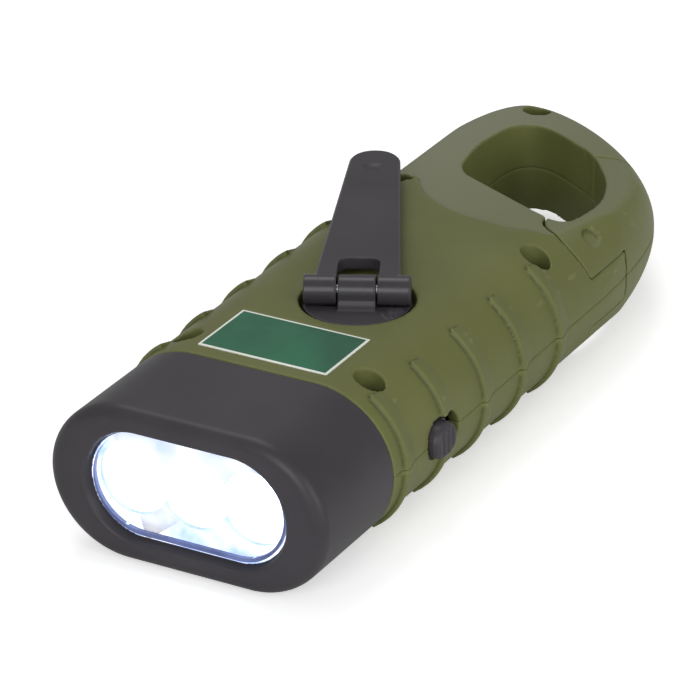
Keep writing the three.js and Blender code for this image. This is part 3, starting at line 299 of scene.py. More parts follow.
green = moulded_plastic(
    "olive_moulded_plastic",
    "616538",
    "676b3d",
    (0.42, 0.52),
    shine=0.25,
    # the edge colour below is partly wear, partly a painted highlight
    wear_and_highlight="83865e",
    # the crease colour below is painted shade
    crease_shade="2f321c",
    patch="plateau",
    # the plateau colour below is a painted sheen
    patch_sheen_colour="7b7d66",
    patch_roughness=0.12,
)
charcoal = moulded_plastic(
    "charcoal_moulded_plastic",
    "363337",
    "3c393d",
    (0.38, 0.48),
    shine=0.3,
    # the edge colour below is partly wear, partly a painted highlight
    wear_and_highlight="67656a",
    # the crease colour below is painted shade
    crease_shade="1d1b1e",
    patch="polish",
    patch_roughness=-0.13,
)
black_nylon = moulded_plastic("black_nylon", "1b1b1d", "242427")
white_nylon = moulded_plastic("white_nylon", "d8d4c6", "e6e2d6", (0.3, 0.4))
circuit_green = moulded_plastic("lacquered_board", "145232", "1f6b3c", (0.2, 0.35))
cell_sleeve = moulded_plastic("cell_sleeve", "1f6b44", "2b8052", (0.2, 0.3))
red_sleeve = moulded_plastic("red_wire_sleeve", "9c1712", "b3261e", (0.35, 0.5))
black_sleeve = moulded_plastic("black_wire_sleeve", "141416", "202023", (0.35, 0.5))
label_film = moulded_plastic("plain_label_film", "174f38", "1f6a48", (0.2, 0.3), shine=0.4)
label_edge = moulded_plastic("pale_label_edge", "dfe6da", "f0f4ec", (0.2, 0.3), shine=0.4)
steel = bare_metal("bright_plated_steel", "9da0a4", "c4c7ca")
dark_steel = bare_metal("blackened_steel", "3a3b3d", "4b4c4e", (0.35, 0.5))
brass = bare_metal("turned_brass", "a8873f", "c9a658")
copper = bare_metal("wound_copper", "8e4b26", "b8693a", (0.25, 0.45))
magnet = bare_metal("ground_magnet", "47494d", "606368", (0.35, 0.5))
# The cups, their rims and the window's lip glow with painted light: emission standing in for the
# diodes' light on them.
mirror = lit_material("lit_mirror_cups", "cfdcf2", "ffffff", 0.5, 0.5, 0.28, 250)
lit_cup_rim = lit_material("lit_cup_rims", "7f8ea8", "9aa8bd", 0.1, 0.6, 0.3, 250)
lit_lip = lit_material("lit_window_lip", "3f4a74", "6d7ab0", 0.22, 0.0, 0.3, 150)
window_plastic = clear_plastic("clear_window_plastic", "f3f7ff")
led_glow = lit_material("lit_diode_resin", "dfe8ff", "ffffff", 3.0)

FINISH = {
    "casing_green": green,
    "charcoal": charcoal,
    "clear_window": window_plastic,
    "led_resin": led_glow,
    "mirror_cups": mirror,
    "white_nylon": white_nylon,
    "steel": steel,
    "brass": brass,
    "copper_wire": copper,
    "circuit_green": circuit_green,
    "cell_sleeve": cell_sleeve,
    "wire_red": red_sleeve,
    "wire_black": black_sleeve,
    "black_nylon": black_nylon,
    "magnet": magnet,
    "label_print": label_film,
}


# Making pieces
def finish(piece, material):
    piece.data.materials.clear()
    piece.data.materials.append(material)


def select_only(*pieces):
    bpy.ops.object.select_all(action="DESELECT")
    for piece in pieces:
        piece.select_set(True)
    bpy.context.view_layer.objects.active = pieces[0]


def settle(piece):
    """puts a new piece's place, turn and size into its mesh"""
    select_only(piece)
    bpy.ops.object.transform_apply(location=True, rotation=True, scale=True)
    return piece


def start_edit(piece):
    select_only(piece)
    bpy.ops.object.mode_set(mode="EDIT")
    bpy.ops.mesh.select_mode(type="VERT")
    bpy.ops.mesh.select_all(action="SELECT")


def end_edit():
    bpy.ops.object.mode_set(mode="OBJECT")


def pick_vertices(piece, wanted):
    """in edit mode, selects the vertices whose place in mm is wanted"""
    bpy.ops.mesh.select_all(action="DESELECT")
    bpy.ops.object.mode_set(mode="OBJECT")
    for vertex in piece.data.vertices:
        vertex.select = bool(wanted(vertex.co / MM))
    bpy.ops.object.mode_set(mode="EDIT")


def add_rod(x, y, z0, z1, radius, sides=96):
    bpy.ops.mesh.primitive_cylinder_add(
        vertices=sides,
        radius=radius * MM,
        depth=(z1 - z0) * MM,
        location=(x * MM, y * MM, (z0 + z1) / 2 * MM),
    )
    return settle(bpy.context.object)


def add_cross_rod(x0, x1, y, z, radius, sides=96):
    bpy.ops.mesh.primitive_cylinder_add(
        vertices=sides,
        radius=radius * MM,
        depth=(x1 - x0) * MM,
        location=((x0 + x1) / 2 * MM, y * MM, z * MM),
        rotation=(0, math.pi / 2, 0),
    )
    return settle(bpy.context.object)


def add_long_cone(x, z, y0, y1, radius0, radius1, high_share=1.0, sides=192):
    """a cone or rod along Y; its height may be a share of its width"""
    bpy.ops.mesh.primitive_cone_add(
        vertices=sides,
        radius1=radius1 * MM,
        radius2=radius0 * MM,
        depth=(y1 - y0) * MM,
        location=(x * MM, (y0 + y1) / 2 * MM, z * MM),
        rotation=(math.pi / 2, 0, 0),
        scale=(1, high_share, 1),
    )
    return settle(bpy.context.object)


def add_block(x0, x1, y0, y1, z0, z1):
    bpy.ops.mesh.primitive_cube_add(
        size=MM,
        location=((x0 + x1) / 2 * MM, (y0 + y1) / 2 * MM, (z0 + z1) / 2 * MM),
        scale=(x1 - x0, y1 - y0, z1 - z0),
    )
    return settle(bpy.context.object)


def join(*pieces):
    select_only(*pieces)
    bpy.ops.object.join()
    return pieces[0]


def wrap(*pieces):
    """one convex skin round all the pieces"""
    whole = join(*pieces)
    start_edit(whole)
    bpy.ops.mesh.convex_hull()
    end_edit()
    return whole


def twin(piece):
    other = bpy.data.objects.new(piece.name, piece.data.copy())
    bpy.context.collection.objects.link(other)
    return other


def discard(*pieces):
    for piece in pieces:
        bpy.data.objects.remove(piece)


def combine(piece, other, operation, keep=False):
    modifier = piece.modifiers.new("combine", "BOOLEAN")
    modifier.operation = operation
    modifier.solver = "MANIFOLD"
    modifier.object = other
    select_only(piece)
    bpy.ops.object.modifier_apply(modifier=modifier.name)
    if not keep:
        discard(other)
    return piece


def cut(piece, *cutters, keep=False):
    for cutter in cutters:
        combine(piece, cutter, "DIFFERENCE", keep)
    return piece


def shared(piece, other, keep=False):
    return combine(piece, other, "INTERSECT", keep)


def solid_copy(name):
    """a closed copy of a CAD node"""
    copy = bpy.data.objects.new("copy_of_" + name, nodes[name].data.copy())
    bpy.context.collection.objects.link(copy)
    start_edit(copy)
    bpy.ops.mesh.remove_doubles(threshold=0.0001 * MM)
    end_edit()
    return copy


def apply_modifier(piece, kind, **values):
    modifier = piece.modifiers.new(kind.lower(), kind)
    for name, value in values.items():
        setattr(modifier, name, value)
    select_only(piece)
    bpy.ops.object.modifier_apply(modifier=modifier.name)


def soften(piece, grid, rounds, most_triangles=180000, soft=None, soft_rounds=0):
    """one skin over the joined shapes, with rounded edges, rounder where soft says so"""
    grid = grid
    apply_modifier(piece, "REMESH", mode="VOXEL", voxel_size=grid * MM)
    apply_modifier(piece, "SMOOTH", iterations=rounds, factor=0.5)
    if soft:
        group = piece.vertex_groups.new(name="soft")
        chosen = [v.index for v in piece.data.vertices if soft(v.co / MM)]
        group.add(chosen, 1.0, "REPLACE")
        apply_modifier(piece, "SMOOTH", iterations=soft_rounds, factor=0.5, vertex_group="soft")
        piece.vertex_groups.clear()
    triangles = 2 * len(piece.data.polygons)
    if triangles > most_triangles:
        apply_modifier(piece, "DECIMATE", ratio=most_triangles / triangles)
    select_only(piece)
    bpy.ops.object.shade_smooth()
    return piece


def paint(piece, name, share):
    """keeps a share from 0 to 1 at each vertex for the material to read"""
    layer = piece.data.attributes.new(name, "FLOAT", "POINT")
    shares = [float(share(vertex.co / MM, vertex.normal)) for vertex in piece.data.vertices]
    layer.data.foreach_set("value", shares)


def hand_over(piece, name, body, slot, material, *replaced):
    """names and colours a finished piece, and says what it rides on and replaces"""
    piece.name = name
    piece.data.name = name
    finish(piece, material)
    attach(piece, body)
    if replaced:
        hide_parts(*replaced)
    return piece


# The casing's section, drawn along Y
HALF_WIDTH = 25
BODY_HEIGHT = 26.8
PARTING = 13.4
EDGE_RUN = 14
FRONT_END = -60.7
REAR_END = 98.6

# Reaches of cutters past the underside, the top face and the sides
BELOW = -1
ABOVE = 28
ASIDE = 30


def section_bar(y0, y1, inset):
    wide = EDGE_RUN - inset
    share = (PARTING - inset) / wide
    flat = HALF_WIDTH - EDGE_RUN
    sides = [add_long_cone(side * flat, PARTING, y0, y1, wide, wide, share) for side in (-1, 1)]
    return wrap(*sides)


def closed_curve(points, resolution):
    """a filled flat curve; each point is its place and its two handles, in mm"""
    bpy.ops.curve.primitive_bezier_curve_add()
    curve = bpy.context.object
    spline = curve.data.splines[0]
    spline.bezier_points.add(len(points) - 2)
    for knot, (place, before, after) in zip(spline.bezier_points, points):
        knot.handle_left_type = knot.handle_right_type = "FREE"
        knot.co = (place[0] * MM, place[1] * MM, 0)
        knot.handle_left = (before[0] * MM, before[1] * MM, 0)
        knot.handle_right = (after[0] * MM, after[1] * MM, 0)
    spline.use_cyclic_u = True
    spline.resolution_u = resolution
    curve.data.dimensions = "2D"
    curve.data.fill_mode = "BOTH"
    return curve


def mesh_from(curve):
    select_only(curve)
    bpy.ops.object.convert(target="MESH")
    solid = bpy.context.object
    start_edit(solid)
    bpy.ops.mesh.remove_doubles(threshold=0.001 * MM)
    bpy.ops.mesh.normals_make_consistent(inside=False)
    end_edit()
    return solid


def curve_block(points, resolution, z0, z1):
    curve = closed_curve(points, resolution)
    curve.data.extrude = (z1 - z0) / 2 * MM
    curve.location.z = (z0 + z1) / 2 * MM
    return settle(mesh_from(curve))


# The casing's outline in plan: each knot with the handles before and after it
CLEAR = 0.02
WIDE = HALF_WIDTH + CLEAR
PLAN = [
    ((WIDE, FRONT_END), (10, FRONT_END), (WIDE, -30)),
    ((WIDE, 36), (WIDE, 10), (WIDE, 51)),
    ((18.9, 72.5), (23.55, 65), (11.4, 84.5)),
    ((-14.5, 97.6), (-4.5, 97.6), (-22, 97.6)),
    ((-WIDE, 74), (-WIDE, 90), (-WIDE, 30)),
    ((-WIDE, FRONT_END), (-WIDE, -20), (-10, FRONT_END)),
]
LOOP_EDGE_RUN = 5.5
PLATEAU_DROP = 0.7


def slope_height(x, y):
    return PARTING - 0.095 * (y - 34) - 0.03 * (x - 3)


def pebble(drop=0):
    """rounded all round the outline, and lower towards the tip of the loop"""
    curve = closed_curve(PLAN, 40)
    curve.data.bevel_depth = LOOP_EDGE_RUN * MM
    curve.data.bevel_resolution = 22
    curve.data.offset = -LOOP_EDGE_RUN * MM
    stone = mesh_from(curve)
    for vertex in stone.data.vertices:
        x, y, z = vertex.co / MM
        height = slope_height(x, y) - drop
        vertex.co.z = (PARTING + z / LOOP_EDGE_RUN * height) * MM
    return stone


CROWN = (7, 57)
CROWN_R = 23.4
CROWN_REAR = 46


def casing_solid():
    """the whole outside of the casing and the gate, without any opening"""
    high = shared(section_bar(FRONT_END, REAR_END, 0), pebble())
    lower = pebble(PLATEAU_DROP)
    for zone in (
        add_rod(*CROWN, BELOW, ABOVE, CROWN_R, 256),
        add_block(-ASIDE, ASIDE, CROWN_REAR, REAR_END + 1, BELOW, ABOVE),
    ):
        cut(high, cut(zone, lower, keep=True))
    discard(lower)
    return high


# Shares of the way that a knot's handles take, along the straight and to the corner
STRAIGHT_SHARE = 0.01
LEAN_SHARE = 2 / 3


def hole_corner(corner, before, after, reach):
    """two knots of a rounded corner of the loop's opening"""
    middle = Vector(corner)
    start = middle + (Vector(before) - middle).normalized() * reach
    end = middle + (Vector(after) - middle).normalized() * reach
    return [
        (start, start.lerp(Vector(before), STRAIGHT_SHARE), start.lerp(middle, LEAN_SHARE)),
        (end, end.lerp(middle, LEAN_SHARE), end.lerp(Vector(after), STRAIGHT_SHARE)),
    ]


# The opening's corners in plan, each with how far its rounding reaches
HOLE = [
    ((16.9, 41.6), 5),
    ((17.2, 55.2), 5),
    ((13.2, 65.6), 5),
    ((5, 76.7), 4.5),
    ((-13.8, 88), 12),
    ((-13.7, 68), 5),
    ((-10.4, 54.6), 5),
]


def hole_cutter():
    knots = []
    count = len(HOLE)
    for i, (corner, reach) in enumerate(HOLE):
        before = HOLE[(i + count - 1) % count][0]
        after = HOLE[(i + 1) % count][0]
        knots += hole_corner(corner, before, after, reach)
    return curve_block(knots, 16, BELOW, ABOVE)


# The gate: its pivot in plan, the heights of the casing's tongue between its ears,
# and the reach and the angles of its swinging end
PIVOT = (20.2, 44.4)
EAR_R = 7.4
TONGUE = (9.0, 17.8)
GAP = 0.3
GATE_REACH = 34.3
GATE_ANGLES = (-12, 128)
GATE_END_GAP = 0.39
GATE_SIDE_GAP = 1
PIN_R = 1.2
PIN_BORE_R = 1.3
PIN_FOOT = 4.6
PIN_HEAD = 19.4
SPRING_POCKET = (11.2, 15.6)
SPRING_POCKET_R = 2.9


def sector(reach, start, end):
    """a slice round the pivot between two angles in degrees"""
    wedge = add_rod(*PIVOT, BELOW, ABOVE, reach, 360)
    for degrees, side in ((start, -1), (end, 1)):
        angle = math.radians(degrees)
        start_edit(wedge)
        bpy.ops.mesh.bisect(
            plane_co=(PIVOT[0] * MM, PIVOT[1] * MM, 0),
            plane_no=(-side * math.sin(angle), side * math.cos(angle), 0),
            use_fill=True,
            clear_outer=True,
        )
        end_edit()
    return wedge


def gate_space():
    """what the gate's swinging end and its ears leave free in the casing"""
    tongue = add_rod(*PIVOT, *TONGUE, EAR_R)
    start, end = GATE_ANGLES
    swing = sector(GATE_REACH + GATE_END_GAP, start - GATE_SIDE_GAP, end + GATE_SIDE_GAP)
    return [
        cut(swing, tongue),
        add_rod(*PIVOT, TONGUE[1], ABOVE, EAR_R + GAP),
        add_rod(*PIVOT, BELOW, TONGUE[0], EAR_R + GAP),
    ]


# Each screw's place in plan, the height of its seat, and its length
SCREWS = [
    (-16.6, -24.8, 16.4, 11),
    (16.6, -24.8, 16.4, 11),
    (18, 29, 16.4, 11),
    (-16.3, 44.4, 16.4, 11),
    (-13.8, 91.2, 14.6, 5.5),
]
WELL_R = 2.5
SCREW_BORE_R = 1.3
CRANK = (2.1, -2.8)
DISC_TOP = 26.3
DISC_WELL_R = 9.6
DISC_WELL_FLOOR = 23.85
LABEL_BED = (-12.4, 11.4, -29.05, -14.75, 26.55)

# The switch's button: its place along Y, half its length and height, and its travel
SWITCH_Y = -17.2
BUTTON_HALF = (3.4, 2.9)
BUTTON_TRAVEL = 2.8
BUTTON_ROOT = 18.4
BUTTON_FACE = 26.6


def switch_slot():
    radius = BUTTON_HALF[1] + GAP
    front = SWITCH_Y - BUTTON_HALF[0] - GAP + radius
    rear = SWITCH_Y + BUTTON_HALF[0] + BUTTON_TRAVEL + GAP - radius
    past = BUTTON_FACE + 0.2
    ends = [add_cross_rod(BUTTON_ROOT, past, y, PARTING, radius) for y in (front, rear)]
    return wrap(*ends)


def casing_cutters():
    wells = [add_rod(x, y, seat, ABOVE, WELL_R) for x, y, seat, length in SCREWS]
    bores = [
        add_rod(x, y, seat - length - GAP, seat + 1, SCREW_BORE_R) for x, y, seat, length in SCREWS
    ]
    return [
        hole_cutter(),
        *gate_space(),
        *wells,
        *bores,
        add_rod(*PIVOT, BELOW, ABOVE, PIN_BORE_R),
        add_rod(*PIVOT, *SPRING_POCKET, SPRING_POCKET_R),
        add_rod(*CRANK, DISC_WELL_FLOOR, ABOVE, DISC_WELL_R, 192),
        switch_slot(),
        add_block(*LABEL_BED, ABOVE),
    ]


# The ribs round the sides; each stands RIB_RISE proud at its crest, between two places
# before its middle, and ends flush RIB_RUN behind it
RIB_COUNT = 5
FIRST_RIB = -27.9
RIB_PITCH = 13.17
RIB_CREST = (-1.2, -0.5)
RIB_RISE = 0.8
RIB_RUN = 2.9
BARE_HALF_WIDTH = 19.2


def ribs():
    """each band is steep towards the head and runs down towards the loop"""
    bands = []
    for i in range(RIB_COUNT):
        y = FIRST_RIB + RIB_PITCH * i
        steep = section_bar(y + RIB_CREST[0], y + RIB_CREST[1], -RIB_RISE)
        bands.append(wrap(steep, section_bar(y + RIB_RUN - 0.1, y + RIB_RUN, 0.05)))
    middle = add_block(-BARE_HALF_WIDTH, BARE_HALF_WIDTH, FRONT_END, REAR_END, BELOW, ABOVE)
    return cut(join(*bands), middle)


# Casing halves and gate halves
HEAD_JOINT = -32
LOOP_END = 99
SKIN = 1.4
SKIN_HALF = 0.7
SKIN_SPAN = (-40, 33)
SEAM = 0.04


def casing_halves(solid, cutters):
    """the skin and the ribs of each half, with what the CAD half holds inside"""
    skin = cut(twin(solid), section_bar(*SKIN_SPAN, SKIN))
    bands = cut(ribs(), section_bar(*SKIN_SPAN, SKIN))
    halves = []
    for low, high, node in (
        (PARTING - SEAM, ABOVE, "top_shell"),
        (BELOW, PARTING + SEAM, "bottom_shell"),
    ):
        pieces = []
        for whole in (skin, bands):
            side = add_block(-ASIDE, ASIDE, HEAD_JOINT, LOOP_END, low, high)
            pieces.append(cut(shared(twin(whole), side), *cutters, keep=True))
        inner = section_bar(SKIN_SPAN[0], SKIN_SPAN[1] + 1, SKIN_HALF)
        copy = shared(solid_copy(node), inner)
        halves.append(join(*pieces, copy))
    discard(skin, bands)
    return halves


DIMPLE_R = 1.9
DIMPLE_REACH = 4
DIMPLE_MIDDLE = (21.8, 43.9, 23.9)
DIMPLE_TILT = 0.6


def gate_dimple():
    """a shallow round sink over the pivot, square to the rounded side"""
    bpy.ops.mesh.primitive_cylinder_add(
        vertices=96,
        radius=DIMPLE_R * MM,
        depth=DIMPLE_REACH * MM,
        location=[value * MM for value in DIMPLE_MIDDLE],
        rotation=(0, DIMPLE_TILT, 0),
    )
    return settle(bpy.context.object)


def gate_pin():
    pin = add_rod(*PIVOT, PIN_FOOT, PIN_HEAD + 0.2, PIN_R)
    combine(pin, add_rod(*PIVOT, PIN_HEAD, PIN_HEAD + 1, 1.9), "UNION")
    soften(pin, 0.08, 3, 40000)
    hand_over(pin, "gate_hinge_pin", "casing", "steel", dark_steel, "gate_pin")


def gate_halves(solid, hole):
    upper_ear = add_rod(*PIVOT, TONGUE[1] + GAP / 2, ABOVE, EAR_R)
    lower_ear = add_rod(*PIVOT, BELOW, TONGUE[0] - GAP / 2, EAR_R)
    zone = sector(GATE_REACH, *GATE_ANGLES)
    combine(zone, upper_ear, "UNION")
    combine(zone, lower_ear, "UNION")
    cut(zone, add_rod(*PIVOT, TONGUE[0] - GAP / 2, TONGUE[1] + GAP / 2, EAR_R + GAP))
    whole = cut(shared(twin(solid), zone), hole, add_rod(*PIVOT, BELOW, 20, PIN_BORE_R))
    upper = shared(twin(whole), add_block(-ASIDE, ASIDE, 0, LOOP_END, PARTING, ABOVE))
    cut(upper, add_rod(*PIVOT, PIN_HEAD - 0.1, PIN_HEAD + 1.2, 2), gate_dimple())
    lower = shared(whole, add_block(-ASIDE, ASIDE, 0, LOOP_END, BELOW, PARTING))
    return upper, lower


def near_hole_rim(place):
    inside = -14 < place.x < 21 and 39 < place.y < 89
    return inside and abs(place.z - PARTING) > 6.5


def clamped(share):
    return min(max(share, 0), 1)


def plateau_sheen_share(place, normal):
    """how far a place is on the land round the loop and faces up, more so to its left: the share
    of a painted sheen
    """
    reach = math.hypot(place.x - CROWN[0], place.y - CROWN[1])
    inside = max(CROWN_R - 0.3 - reach, place.y - CROWN_REAR)
    left = clamped((6 - place.x) / 24)
    level = clamped((normal.z - 0.75) / 0.2)
    return clamped(inside / 0.3) * level * (0.5 + 0.5 * left)


def casing():
    solid = casing_solid()
    cutters = casing_cutters()
    top, bottom = casing_halves(solid, cutters)
    upper, lower = gate_halves(solid, twin(cutters[0]))
    discard(solid, *cutters)
    for half in (top, bottom):
        soften(half, 0.3, 3, soft=near_hole_rim, soft_rounds=8)
    for half in (upper, lower):
        soften(half, 0.25, 5, 120000, near_hole_rim, 8)
    # the share of the painted sheen on the land round the loop
    paint(top, "plateau", plateau_sheen_share)
    paint(upper, "plateau", plateau_sheen_share)
    hand_over(top, "casing_top", "casing", "casing_green", green, "top_shell")
    hand_over(bottom, "casing_bottom", "casing", "casing_green", green, "bottom_shell")
    hand_over(upper, "gate_top", "gate", "casing_green", green, "gate_upper")
    hand_over(lower, "gate_bottom", "gate", "casing_green", green, "gate_lower")


# Head, window and light
HEAD_FRONT = -54.2
HEAD_EDGE = 2.2
HEAD_WALL = 2.2
EDGE_STEPS = 8
LENS_FRONT = -52.1
MOUTH = -50.6
LENS_HALF = (19.2, 10.6)
MOUTH_HALF = (18.8, 10.2)
MOUTH_HIGH_REAR = 8.6
LIP_HALF = (17.4, 8.8)
LIP_BORE_HALF = (17.1, 8.5)
LIP_RISE = 0.4
CUP_PITCH = 11
CUP_SIZE = (6.2, 6.2, 8.49)
CUP_BLOCK_HALF = (18.1, 7.1)
DIODE_HOLE_R = 2.6


def stadium(y0, y1, wide, high, high_rear=None):
    """a bar along Y with round sides, half as wide and as high as given"""
    rear = high_rear or high
    sides = [add_long_cone(side * (wide - high), PARTING, y0, y1, high, rear) for side in (-1, 1)]
    return wrap(*sides)


def head():
    rings = []
    for step in range(EDGE_STEPS + 1):
        angle = step / EDGE_STEPS * math.pi / 2
        back = HEAD_EDGE * (1 - math.cos(angle))
        inset = HEAD_EDGE * (1 - math.sin(angle))
        rings.append(section_bar(HEAD_FRONT + back, HEAD_JOINT, inset))
    outer = wrap(*rings)
    cut(
        outer,
        section_bar(LENS_FRONT, HEAD_JOINT + 1, HEAD_WALL),
        stadium(HEAD_FRONT - 1, LENS_FRONT + 1, *MOUTH_HALF, MOUTH_HIGH_REAR),
    )
    plug = section_bar(HEAD_JOINT - 1.6, HEAD_JOINT + 3.5, 2.35)
    cut(plug, section_bar(HEAD_JOINT - 3, HEAD_JOINT + 5, 3.65))
    whole = join(outer, plug)
    soften(whole, 0.28, 4)
    return hand_over(whole, "head", "casing", "charcoal", charcoal, "head_bezel")


def window():
    lens = stadium(LENS_FRONT, MOUTH, *LENS_HALF)
    apply_modifier(
        lens, "BEVEL", width=0.25 * MM, segments=3, limit_method="ANGLE", angle_limit=0.9
    )
    lip = stadium(LENS_FRONT - 0.6, LENS_FRONT + 0.1, *LIP_HALF)
    mouth = stadium(LENS_FRONT - 1, LENS_FRONT + 1, *LIP_BORE_HALF)
    mouth.location.z = LIP_RISE * MM
    cut(lip, settle(mouth))
    lens = join(lens, lip)
    select_only(lens)
    bpy.ops.object.shade_smooth_by_angle(angle=math.radians(35))
    hand_over(lens, "window", "casing", "clear_window", window_plastic, "lens")
    # the lip's glow is painted light from the diodes
    lens.data.materials.append(lit_lip)
    for face in lens.data.polygons:
        face.material_index = 1 if face.center.y < (LENS_FRONT - 0.01) * MM else 0


def reflector_cups():
    plate = stadium(MOUTH, MOUTH + 1.4, *LENS_HALF)
    combine(plate, stadium(MOUTH + 0.2, MOUTH + 8.5, *CUP_BLOCK_HALF), "UNION")
    for i in (-1, 0, 1):
        bpy.ops.mesh.primitive_uv_sphere_add(
            segments=96,
            ring_count=64,
            radius=MM,
            location=(i * CUP_PITCH * MM, MOUTH * MM, PARTING * MM),
            rotation=(math.pi / 2, 0, 0),
            scale=CUP_SIZE,
        )
        cut(plate, settle(bpy.context.object))
        hole = [MOUTH, MOUTH + 10, DIODE_HOLE_R, DIODE_HOLE_R]
        cut(plate, add_long_cone(i * CUP_PITCH, PARTING, *hole, sides=64))
    select_only(plate)
    bpy.ops.object.shade_smooth_by_angle(angle=math.radians(30))
    hand_over(plate, "reflector_cups", "casing", "mirror_cups", mirror, "reflector")
    # the rims' glow is painted light from the diodes
    plate.data.materials.append(lit_cup_rim)
    for face in plate.data.polygons:
        depth = face.center.y / MM - MOUTH
        face.material_index = 1 if 0.01 < depth < 0.9 and abs(face.normal.y) < 0.6 else 0


# A diode's dome and flange: where each starts and ends along Y, and their radii
DOME_FRONT = -49.7
FLANGE = (-42.1, -41.1)
DOME_R = 2.5
FLANGE_R = 2.85


def diodes():
    for i, side in ((-1, "left"), (0, "middle"), (1, "right")):
        x = i * CUP_PITCH
        dome = add_long_cone(x, PARTING, DOME_FRONT, FLANGE[0], DOME_R, DOME_R, sides=64)
        start_edit(dome)
        pick_vertices(dome, lambda place: place.y < DOME_FRONT + 0.1)
        bpy.ops.mesh.select_mode(type="EDGE")
        bpy.ops.mesh.region_to_loop()
        bpy.ops.mesh.bevel(offset=(DOME_R - 0.15) * MM, segments=12, profile=0.5)
        end_edit()
        flange = add_long_cone(x, PARTING, *FLANGE, FLANGE_R, FLANGE_R, sides=64)
        combine(dome, flange, "UNION")
        select_only(dome)
        bpy.ops.object.shade_smooth_by_angle(angle=math.radians(30))
        name = "led_" + side
        hand_over(dome, "diode_" + side, "casing", "led_resin", led_glow, name)


# Crank, built straight along +Y at the origin and then turned to its rest
CRANK_TURN = math.radians(25.8)
HINGE = 28.4
KNUCKLE_R = 2.5
KNUCKLE_HALF = 3.05
DISC_R = 8.9
DISC_UNDER = 24
FOOT_UNDER = 25.5
ARM_TOP = 30.9
ARM_UNDER = 28.7
ARM_EDGE = 0.5
ARM_REACH = 46.6
ARM_TIP_R = 4.4
ARM_HALF_WIDTH = 7.05
ARM_BARREL = (3.35, 8.7)
DENT_MIDDLE = (0, 43.5, ARM_TOP + 1.2)
DENT_SIZE = (3.1, 2.5, 1.6)


def turn_crank(piece):
    piece.rotation_euler = (0, 0, CRANK_TURN)
    piece.location = (CRANK[0] * MM, CRANK[1] * MM, 0)
    return settle(piece)


def on_barrel(place):
    """along the crank's own axes, whether a place is on a rounded knuckle"""
    return math.hypot(place.y, place.z - HINGE) < KNUCKLE_R + 0.15


def crank_disc():
    disc = add_rod(0, 0, DISC_UNDER, DISC_TOP, DISC_R, 192)
    for side in (-1, 1):
        x0, x1 = sorted((side * KNUCKLE_HALF, side * (DISC_R + 0.1)))
        cut(disc, add_cross_rod(x0, x1, 0, HINGE, KNUCKLE_R + GAP))
    barrel = add_cross_rod(-KNUCKLE_HALF, KNUCKLE_HALF, 0, HINGE, KNUCKLE_R)
    foot = add_block(-KNUCKLE_HALF, KNUCKLE_HALF, -KNUCKLE_R, KNUCKLE_R, FOOT_UNDER, HINGE)
    fillet = add_block(-KNUCKLE_HALF, KNUCKLE_HALF, -3.9, 3.9, FOOT_UNDER, 27.4)
    hollows = [add_cross_rod(-4, 4, side * 4.1, 27.8, 1.5) for side in (-1, 1)]
    cut(fillet, *hollows)
    new = join(turn_crank(disc), *[turn_crank(piece) for piece in (barrel, foot, fillet)])
    whole = join(new, solid_copy("crank_disc"))
    soften(whole, 0.14, 5, 90000)
    back = Matrix.Rotation(-CRANK_TURN, 3, "Z")
    middle = Vector((*CRANK, 0))
    paint(whole, "polish", lambda place, normal: on_barrel(back @ (place - middle)))
    return hand_over(whole, "crank_disc_moulding", "crank", "charcoal", charcoal, "crank_disc")


def crank_arm():
    low = ARM_TOP - ARM_EDGE
    half = ARM_HALF_WIDTH
    arm = wrap(
        add_rod(0, ARM_REACH, ARM_UNDER, low, ARM_TIP_R, 192),
        add_rod(0, ARM_REACH, low, ARM_TOP, ARM_TIP_R - ARM_EDGE, 192),
        add_block(-half, half, 0, 0.1, ARM_UNDER, low),
        add_block(-half + ARM_EDGE, half - ARM_EDGE, 0, 0.1, low, ARM_TOP),
    )
    barrels = []
    for side in (-1, 1):
        x0, x1 = sorted(side * x for x in ARM_BARREL)
        barrels.append(add_cross_rod(x0, x1, 0, HINGE, KNUCKLE_R))
    corners = [add_rod(side * 1.6, 5.2, 25, 32, 1.8) for side in (-1, 1)]
    opening = wrap(*corners, add_rod(0, 4.6, 25, 32, 2.5), add_block(-3.4, 3.4, -4, -3, 25, 32))
    cut(arm, opening)
    bpy.ops.mesh.primitive_uv_sphere_add(
        segments=64,
        ring_count=32,
        radius=MM,
        location=[value * MM for value in DENT_MIDDLE],
        scale=DENT_SIZE,
    )
    cut(arm, settle(bpy.context.object))
    for barrel in barrels:
        combine(arm, barrel, "UNION")
    cut(arm, add_cross_rod(-20, 20, 0, HINGE, 1.0, 48), add_rod(0, 46, 25, 30.2, 1.2, 48))
    soften(arm, 0.16, 5, 120000)
    paint(arm, "polish", lambda place, normal: on_barrel(place) and abs(place.x) > 3.3)
    turn_crank(arm)
    return hand_over(arm, "crank_arm_moulding", "arm", "charcoal", charcoal, "crank_arm")


def crank_knob():
    knob = solid_copy("crank_knob")
    soften(knob, 0.1, 4, 40000)
    return hand_over(knob, "crank_knob_moulding", "knob", "charcoal", charcoal, "crank_knob")


# The button's cap in layers outwards, each with its inset, and its finger grooves
CAP_LAYERS = ((24, 25.6, 0), (25.6, 26.2, 0.25), (26.2, BUTTON_FACE, 0.8))
GROOVE_X = 26.95
GROOVE_R = 0.62
GROOVE_PITCH = 1.5


